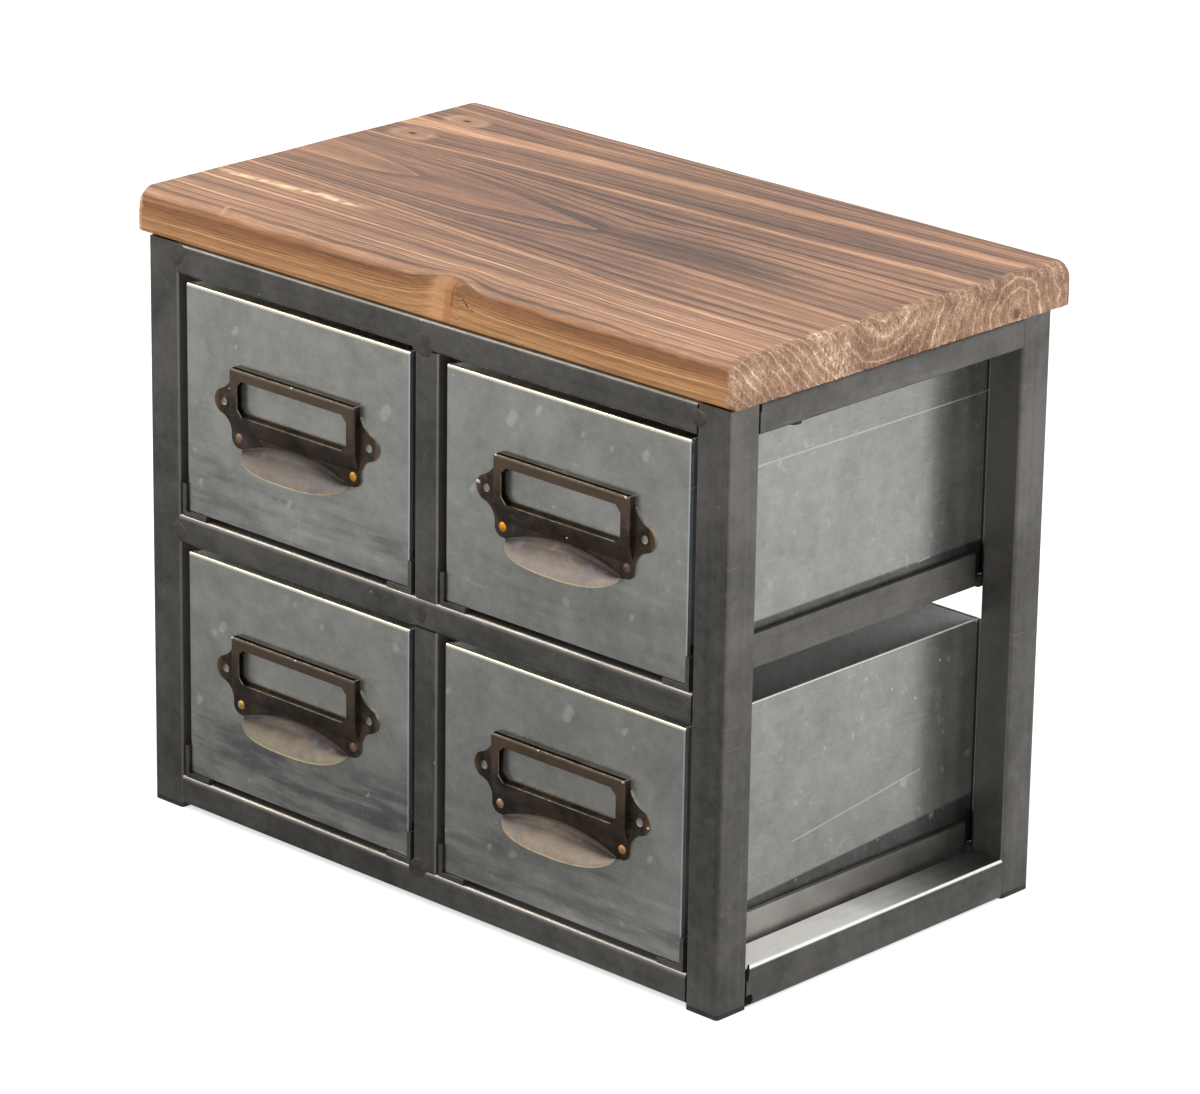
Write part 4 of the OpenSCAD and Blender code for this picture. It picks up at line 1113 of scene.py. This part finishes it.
def buildPull():
    # in mm from the label frame's top middle: u to the right, w up, and -y out from the drawer
    step, sheet = pull["step"], pull["sheet"]
    half = pull["labelWide"] / 2
    floorDrop = pull["border"] + pull["windowHigh"] + 1
    # plate: a flat grid cut to its outline, with dull edges behind the label frame
    u, w = np.meshgrid(np.arange(-58, 58.01, step), np.arange(-43.5, 0.51, step), indexing="ij")
    u, w, keep = cutGrid(u, w, plateDistance)
    plate = sheetMesh(np.stack([u, np.full(u.shape, -sheet), w], -1), keep, sheet)
    middle = plate[0][plate[1]].mean(1)
    plate[2][(np.abs(middle[:, 0]) < half + 1) & (middle[:, 2] > -floorDrop - 1)] = 0
    # label frame: a channel section of depth d(w) carried down w; d is the stand-off as far as the window's
    # foot and then falls to the plate along the apron
    faceHalf = half - 0.9
    side = np.linspace(0, 1, 7)
    bend = np.linspace(0, math.pi / 2, 5)[1:-1]
    flat = np.linspace(-faceHalf, faceHalf, 173)
    down = np.concatenate([np.linspace(0, -floorDrop, 49),
                           np.linspace(-floorDrop, -floorDrop - pull["apron"], 10)[1:]])
    depth = np.where(down >= -floorDrop, pull["stand"],
                     pull["stand"] + (down + floorDrop) / pull["apron"] * (pull["stand"] - sheet - 0.05))
    r = half - faceHalf
    acrossU = np.concatenate([np.full(len(side), -half), -faceHalf - r * np.cos(bend), flat,
                              faceHalf + r * np.sin(bend), np.full(len(side), half)])
    level = np.concatenate([side * 0, 1 - np.sin(bend), flat * 0, 1 - np.cos(bend), side * 0])
    noWall = np.zeros(len(flat) + 2 * len(bend))
    wallShare = np.concatenate([1 - side, noWall, side])
    onWall = np.concatenate([side * 0 + 1, noWall, side * 0 + 1])
    faceU, faceW = np.meshgrid(acrossU, down, indexing="ij")
    faceD = np.repeat(depth[None, :], len(acrossU), 0)
    back = sheet * 0.5
    wall = (faceD - r) * (1 - wallShare[:, None]) + back * wallShare[:, None]
    faceY = -np.maximum(np.where(onWall[:, None] > 0, wall, faceD - r * level[:, None]), back)
    flatU, flatW, keep = cutGrid(faceU, faceW, windowDistance, inside=False)
    onFace = (np.abs(faceU) < faceHalf) & (faceW > -floorDrop + 0.2)
    faceU, faceW = np.where(onFace, flatU, faceU), np.where(onFace, flatW, faceW)
    bezel = sheetMesh(np.stack([faceU, faceY, faceW], -1), keep, -sheet * 0.85)
    # ledge that the card stands on: a flat bar between the walls
    ledgeU, corner = np.meshgrid(np.linspace(-half + sheet, half - sheet, 40), np.arange(4), indexing="ij")
    floorW = -pull["border"] - pull["windowHigh"]
    loopY = np.array([-pull["stand"] + 0.3, -0.05, -0.05, -pull["stand"] + 0.3])
    loopW = np.array([floorW - 0.05, floorW - 0.05, floorW - sheet, floorW - sheet])
    first = np.arange(4)
    ends = np.stack([first, ledgeU.size - 1 - first])
    ledge = (np.stack([ledgeU, loopY[corner], loopW[corner]], -1).reshape(-1, 3),
             np.concatenate([gridFaces(40, 4, True), ends]), 0)
    # hood: quarter-ellipse profiles that grow from the ends of the arch to full reach in its middle
    s, a = np.meshgrid(np.sin(np.linspace(-math.pi / 2, math.pi / 2, 73)), np.linspace(0, math.pi / 2, 19),
                       indexing="ij")
    grow = np.sqrt(np.clip(1 - np.abs(s) ** 2.6, 0, None))
    hoodU = pull["hoodHalf"] * s
    rootW = -pull["archDrop"] - (archR - np.sqrt(archR ** 2 - hoodU ** 2)) + sheet
    reachY = 2.2 * sheet + (pull["reach"] - 2.2 * sheet - 0.03) * grow
    lipW = -pull["archDrop"] - pull["archSag"] - 0.2 - (pull["lipDrop"] - 0.2) * grow
    hoodY = -sheet - (reachY - sheet) * np.sin(a)
    hoodW = rootW - (rootW - lipW) * (1 - np.cos(a))
    whole = np.ones((len(s) - 1, len(s[0]) - 1), bool)
    hood = sheetMesh(np.stack([hoodU, hoodY, hoodW], -1), whole, -sheet * 0.8, (2, 1))
    fall = np.tile(a.reshape(-1) / (math.pi / 2), 2)
    grids, marks = [], []
    for (points, faces, slots), mark in ((plate, 0.0), (bezel, 0.0), (ledge, 0.0), (hood, fall)):
        kept, number = np.unique(faces, return_inverse=True)
        grids.append((points[kept], number.reshape(faces.shape), slots))
        marks.append((np.zeros(len(points)) + mark)[kept])
    points, faces, slots = joinGrids(grids)
    return points, faces, slots, {"fall": np.concatenate(marks)}


# hood: place from root to lip and colour, painted reflection bands from light to dark to light; hues: how
# each hood differs
bronzeLook = {
    "dark": tint(42, 37, 31), "light": tint(84, 73, 62), "worn": (96, 84, 72), "ridgeHighlight": (206, 190, 160),
    "raised": (118, 100, 84), "blue": (98, 94, 122), "warm": (146, 108, 86), "earTip": (158, 118, 88),
    "lip": (206, 188, 144),
    "hood": ((0.0, (92, 86, 82)), (0.14, (100, 94, 90)), (0.27, (44, 39, 36)), (0.44, (54, 49, 45)),
             (0.61, (120, 111, 104)), (0.80, (152, 142, 133)), (1.0, (158, 147, 136))),
    "hues": {"upper_left": (0.73, 0.73, 0.73), "upper_right": (1.0, 0.98, 0.98),
             "lower_left": (0.86, 0.86, 0.76), "lower_right": (1.08, 1.02, 0.92)},
}


def bronzeMaterial(name, origin, seed, hoodHue=None):
    # aged bronze with reddish and bluish clouds, bright at the rubbed tips of the ears, with a painted
    # highlight along the label frame's top edge; the hood has painted reflection bands, a dark bow below its
    # root and a painted highlight on its lip
    made, tree, shader = newMaterial(name, {"Metallic": 0.48 if hoodHue else 0.88})
    local = stretch(tree, objectPlace(tree), shift=tuple(-v for v in origin))
    own = stretch(tree, local, shift=(seed, seed * 0.3, seed * 0.7))
    cloud = useGroup(tree, stains, {"Vector": own, "Size": 0.016})
    part = split(tree, local)
    if hoodHue:
        # painted reflection: the hood's colour runs with its fall from root to lip through light and dark
        # bands
        sweep = total(tree, readValue(tree, "fall"), (0.10, noise(tree, own, 0.012, 2.0)), -0.05,
                      (0.9, part[0]))
        colour = tintRamp(tree, sweep, bronzeLook["hood"])
        # painted highlight along the lip of the hood
        lip = span(tree, readValue(tree, "fall"), 0.955, 0.985)
        shade = total(tree, (0.24, cloud["Fine"]), (0.16, cloud["Broad"]), 0.82)
        colour = shadeBy(tree, colour, shade)
        colour = blendColours(tree, 1.0, colour, (*hoodHue, 1.0), "MULTIPLY")
        colour = paint(tree, colour, bronzeLook["lip"], lip, 0.7)
    else:
        colour = blendColours(tree, cloud["Broad"], bronzeLook["dark"], bronzeLook["light"])
        colour = paint(tree, colour, bronzeLook["worn"], cloud["Fine"], 0.35)
        # painted highlight along the top edge of the raised label frame
        raised = span(tree, part[1], -0.0030, -0.0038)
        ridgeHighlight = both(tree, raised, span(tree, part[2], -0.0012, -0.0006))
        colour = paint(tree, colour, bronzeLook["ridgeHighlight"], ridgeHighlight, 0.65)
        upper = span(tree, part[2], -0.022, -0.006)
        colour = paint(tree, colour, bronzeLook["raised"], raised, upper, 0.55)
    blue = span(tree, noise(tree, own, 0.011, 2.0), 0.58, 0.74)
    colour = paint(tree, colour, bronzeLook["blue"], blue, 0.35)
    warm = span(tree, noise(tree, stretch(tree, own, shift=(3.0, 1.0, 2.0)), 0.009, 3.0), 0.58, 0.75)
    colour = paint(tree, colour, bronzeLook["warm"], warm, 0.35)
    ear = calc(tree, "ADD", calc(tree, "ABSOLUTE", part[0]),
               calc(tree, "MULTIPLY", noise(tree, own, 0.004, 2.0), 0.004))
    colour = paint(tree, colour, bronzeLook["earTip"], span(tree, ear, 0.0545, 0.0575), 0.35)
    wire(tree, shader, {
        "Base Color": colour,
        "Roughness": total(tree, (0.14, cloud["Fine"]), 0.37 if hoodHue else 0.29),
        "Normal": bump(tree, cloud["Fine"], 0.10 if hoodHue else 0.14, 0.0002)})
    return made


def labelTop(drawer):
    # top middle of a drawer's label frame, on the drawer's front
    low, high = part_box(drawer + "_pull")
    return np.array([(low.x + high.x) / 2, high.y, high.z])


pullPoints, pullFaces, pullSlots, pullValues = buildPull()
for seed, drawer in enumerate(drawerMarks):
    origin = labelTop(drawer)
    materials = [bronzeMaterial("bronze_" + drawer, origin, seed + 0.5), brassWorn,
                 bronzeMaterial("hoodBronze_" + drawer, origin, seed + 7.3, bronzeLook["hues"][drawer])]
    piece = makePiece("pull_" + drawer, pullPoints / 1000 + origin, pullFaces, materials,
                      "drawer_" + drawer, slots=pullSlots, values=pullValues, smooth=40)
    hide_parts(drawer + "_pull")
print("pulls built:", len(pullFaces), "faces each")

# centre in mm from the left, from the floor, and radius; all on the front faces of the tubes
welds = {"height": 0.40, "spots": ((20.2, 287.0, 5.4), (187.8, 279.6, 6.2), (19.9, 146.0, 4.6),
                                   (187.0, 147.5, 4.6), (185.6, 17.4, 5.4), (361.0, 285.5, 4.4))}
# dark pieces of painted shade in the joint gaps on the right side: centre from the front and from the floor,
# half width and half height
gaps = ((20.7, 17.6, 1.0, 4.4), (21.8, 4.2, 2.4, 2.6), (20.2, 290.2, 0.5, 2.2))


def button(centre, wide, high, height, seed, axis):
    # a flat round button: height h times (1 - s^6) over the share s of its ragged radius, and a flat back
    s, t = np.meshgrid(np.linspace(0, 1, 9) ** 0.6, np.linspace(0, 2 * math.pi, 33)[:-1], indexing="ij")
    edge = 1 + 0.09 * np.sin(2 * t + seed) + 0.06 * np.sin(3 * t + seed * 2.3) + 0.03 * np.sin(7 * t + seed)
    up = height * (1 - s ** 6) * (1 + 0.10 * np.sin(3 * s * 4 + seed + 2 * t))
    across, rise = wide * s * edge * np.cos(t), high * s * edge * np.sin(t)
    grids = []
    for depth in (up, np.full(up.shape, -0.15)):
        layers = {"y": np.stack([across, -depth, rise], -1), "x": np.stack([depth, across, rise], -1)}[axis]
        grids.append(((layers + np.array(centre)).reshape(-1, 3), gridFaces(9, 32, True), 0))
    rim = np.stack([grids[0][0][-32:], grids[1][0][-32:]]).reshape(-1, 3)
    grids.append((rim, gridFaces(2, 32, True), 0))
    return joinGrids(grids)


def buttonPiece(name, spots, material, body):
    points, faces, slots = joinGrids([button(*spot) for spot in spots])
    return makePiece(name, points / 1000, faces, [material], body, smooth=50)


buttonPiece("weldSpots", [(frameLow + (x, 0, z), r, r, welds["height"], i * 1.7, "y")
                          for i, (x, z, r) in enumerate(welds["spots"])], weldSteel, "frame")
buttonPiece("jointShadePieces", [((frameRight, frameLow[1] + y, z), wide, high, 0.06, i * 2.1, "x")
                          for i, (y, z, wide, high) in enumerate(gaps)], sootAndJointShade, "frame")
# from the label frame's top middle: across, down, radius
solderSpots = {"upper_left": ((0.5, 0.0, 0.9), (-46, -11.5, 0.6)),
               "upper_right": ((-41, 0.0, 0.8), (-55.3, -17, 1.3), (41, -0.2, 0.9), (3, -29.5, 0.5)),
               "lower_left": ((2.5, 0.0, 0.7), (-42, -0.2, 0.7)),
               "lower_right": ((-12, 0.0, 0.7), (42, -0.3, 0.8), (55.4, -20, 0.8))}
for drawer, spots in solderSpots.items():
    origin = labelTop(drawer) * 1000
    placedSpots = [(origin + (u, -0.8 if abs(u) > 44 else -3.9 if w > -1 else -2.0, w - 0.3), r, r * 0.7,
                    0.35, i * 1.3, "y") for i, (u, w, r) in enumerate(spots)]
    buttonPiece("solder_" + drawer, placedSpots, solderGrey, "drawer_" + drawer)
print("welds, gaps and solder built")

studio = {"floor": tint(196, 196, 196), "sky": 0.88, "half": 30}
floorMaterial, tree, shader = newMaterial("paleFloor", {"Base Color": studio["floor"], "Roughness": 0.9,
                                                        "Emission Color": (1, 1, 1, 1),
                                                        "Emission Strength": 0.62})
mirrored, tree, shader = newMaterial("reflectedFloor", {"Base Color": (0, 0, 0, 1), "Roughness": 1.0,
                                                        "Emission Strength": 1.0})
part = split(tree, objectPlace(tree))
slope = total(tree, (0.7, part[0]), (0.7, part[1]))
glow = greyRamp(tree, calc(tree, "MULTIPLY_ADD", slope, 0.5, 0.5, clamp=True),
                [(0.0, 0.54), (0.12, 0.43), (0.20, 0.36), (0.28, 0.31), (0.36, 0.25), (0.44, 0.17),
                 (0.54, 0.54), (0.64, 0.80), (0.84, 1.0), (1.0, 1.08)])
feed(tree, shader.inputs["Emission Color"], glow)
# the second floor is seen by reflections only: dim in front and to the left, bright behind and to the right
for name, material, height in (("floor", floorMaterial, 0.0), ("reflectedFloor", mirrored, -0.0005)):
    mesh = bpy.data.meshes.new(name)
    corners = [(studio["half"] * x, studio["half"] * y, height)
               for x, y in ((-1, -1), (1, -1), (1, 1), (-1, 1))]
    mesh.from_pydata(corners, [], [(0, 1, 2, 3)])
    mesh.materials.append(material)
    plane = bpy.data.objects.new(name, mesh)
    bpy.context.scene.collection.objects.link(plane)
    if material is floorMaterial:
        plane.visible_glossy = False
    else:
        plane.visible_camera = plane.visible_diffuse = False
        plane.visible_shadow = plane.visible_transmission = False

world = bpy.data.worlds.new("studio")
bpy.context.scene.world = world
world.use_nodes = True
sky = world.node_tree
rise = split(sky, addNode(sky, "TexCoord").outputs["Generated"])[2]
feed(sky, sky.nodes["Background"].inputs["Color"],
     greyRamp(sky, rise, [(0.0, 0.42), (0.12, 0.60), (0.30, 1.05), (1.0, 1.0)]))
sky.nodes["Background"].inputs["Strength"].default_value = studio["sky"]

# place, size, power and colour of each soft lamp; all look at the middle of the cabinet
lamps = {
    "above": ((0.5, 0.4, 2.2), (2.2, 1.8), 14.0, (1.0, 1.0, 1.0)),
    "warmLeft": ((-1.55, -0.80, 1.75), (1.3, 0.9), 26.0, (1.0, 0.93, 0.80)),
    "right": ((1.9, -1.6, 0.98), (0.9, 0.5), 15.0, (1.0, 0.99, 0.97)),
    "front": ((-0.6, -2.8, 1.3), (1.4, 0.9), 3.0, (1.0, 1.0, 1.0)),
}
aim = np.array([0, 0, 0.16])
for name, (spot, size, power, hue) in lamps.items():
    data = bpy.data.lights.new(name, "AREA")
    data.shape = "RECTANGLE"
    data.size, data.size_y = size
    data.energy, data.color = power, hue
    lamp = bpy.data.objects.new(name, data)
    lamp.location = spot
    lamp.visible_glossy = name != "right"
    away = np.array(spot) - aim
    lamp.rotation_euler = (math.atan2(math.hypot(away[0], away[1]), away[2]), 0,
                           math.atan2(away[1], away[0]) + math.pi / 2)
    bpy.context.scene.collection.objects.link(lamp)
bpy.context.scene.view_settings.view_transform = "Standard"
print("floor and light built")
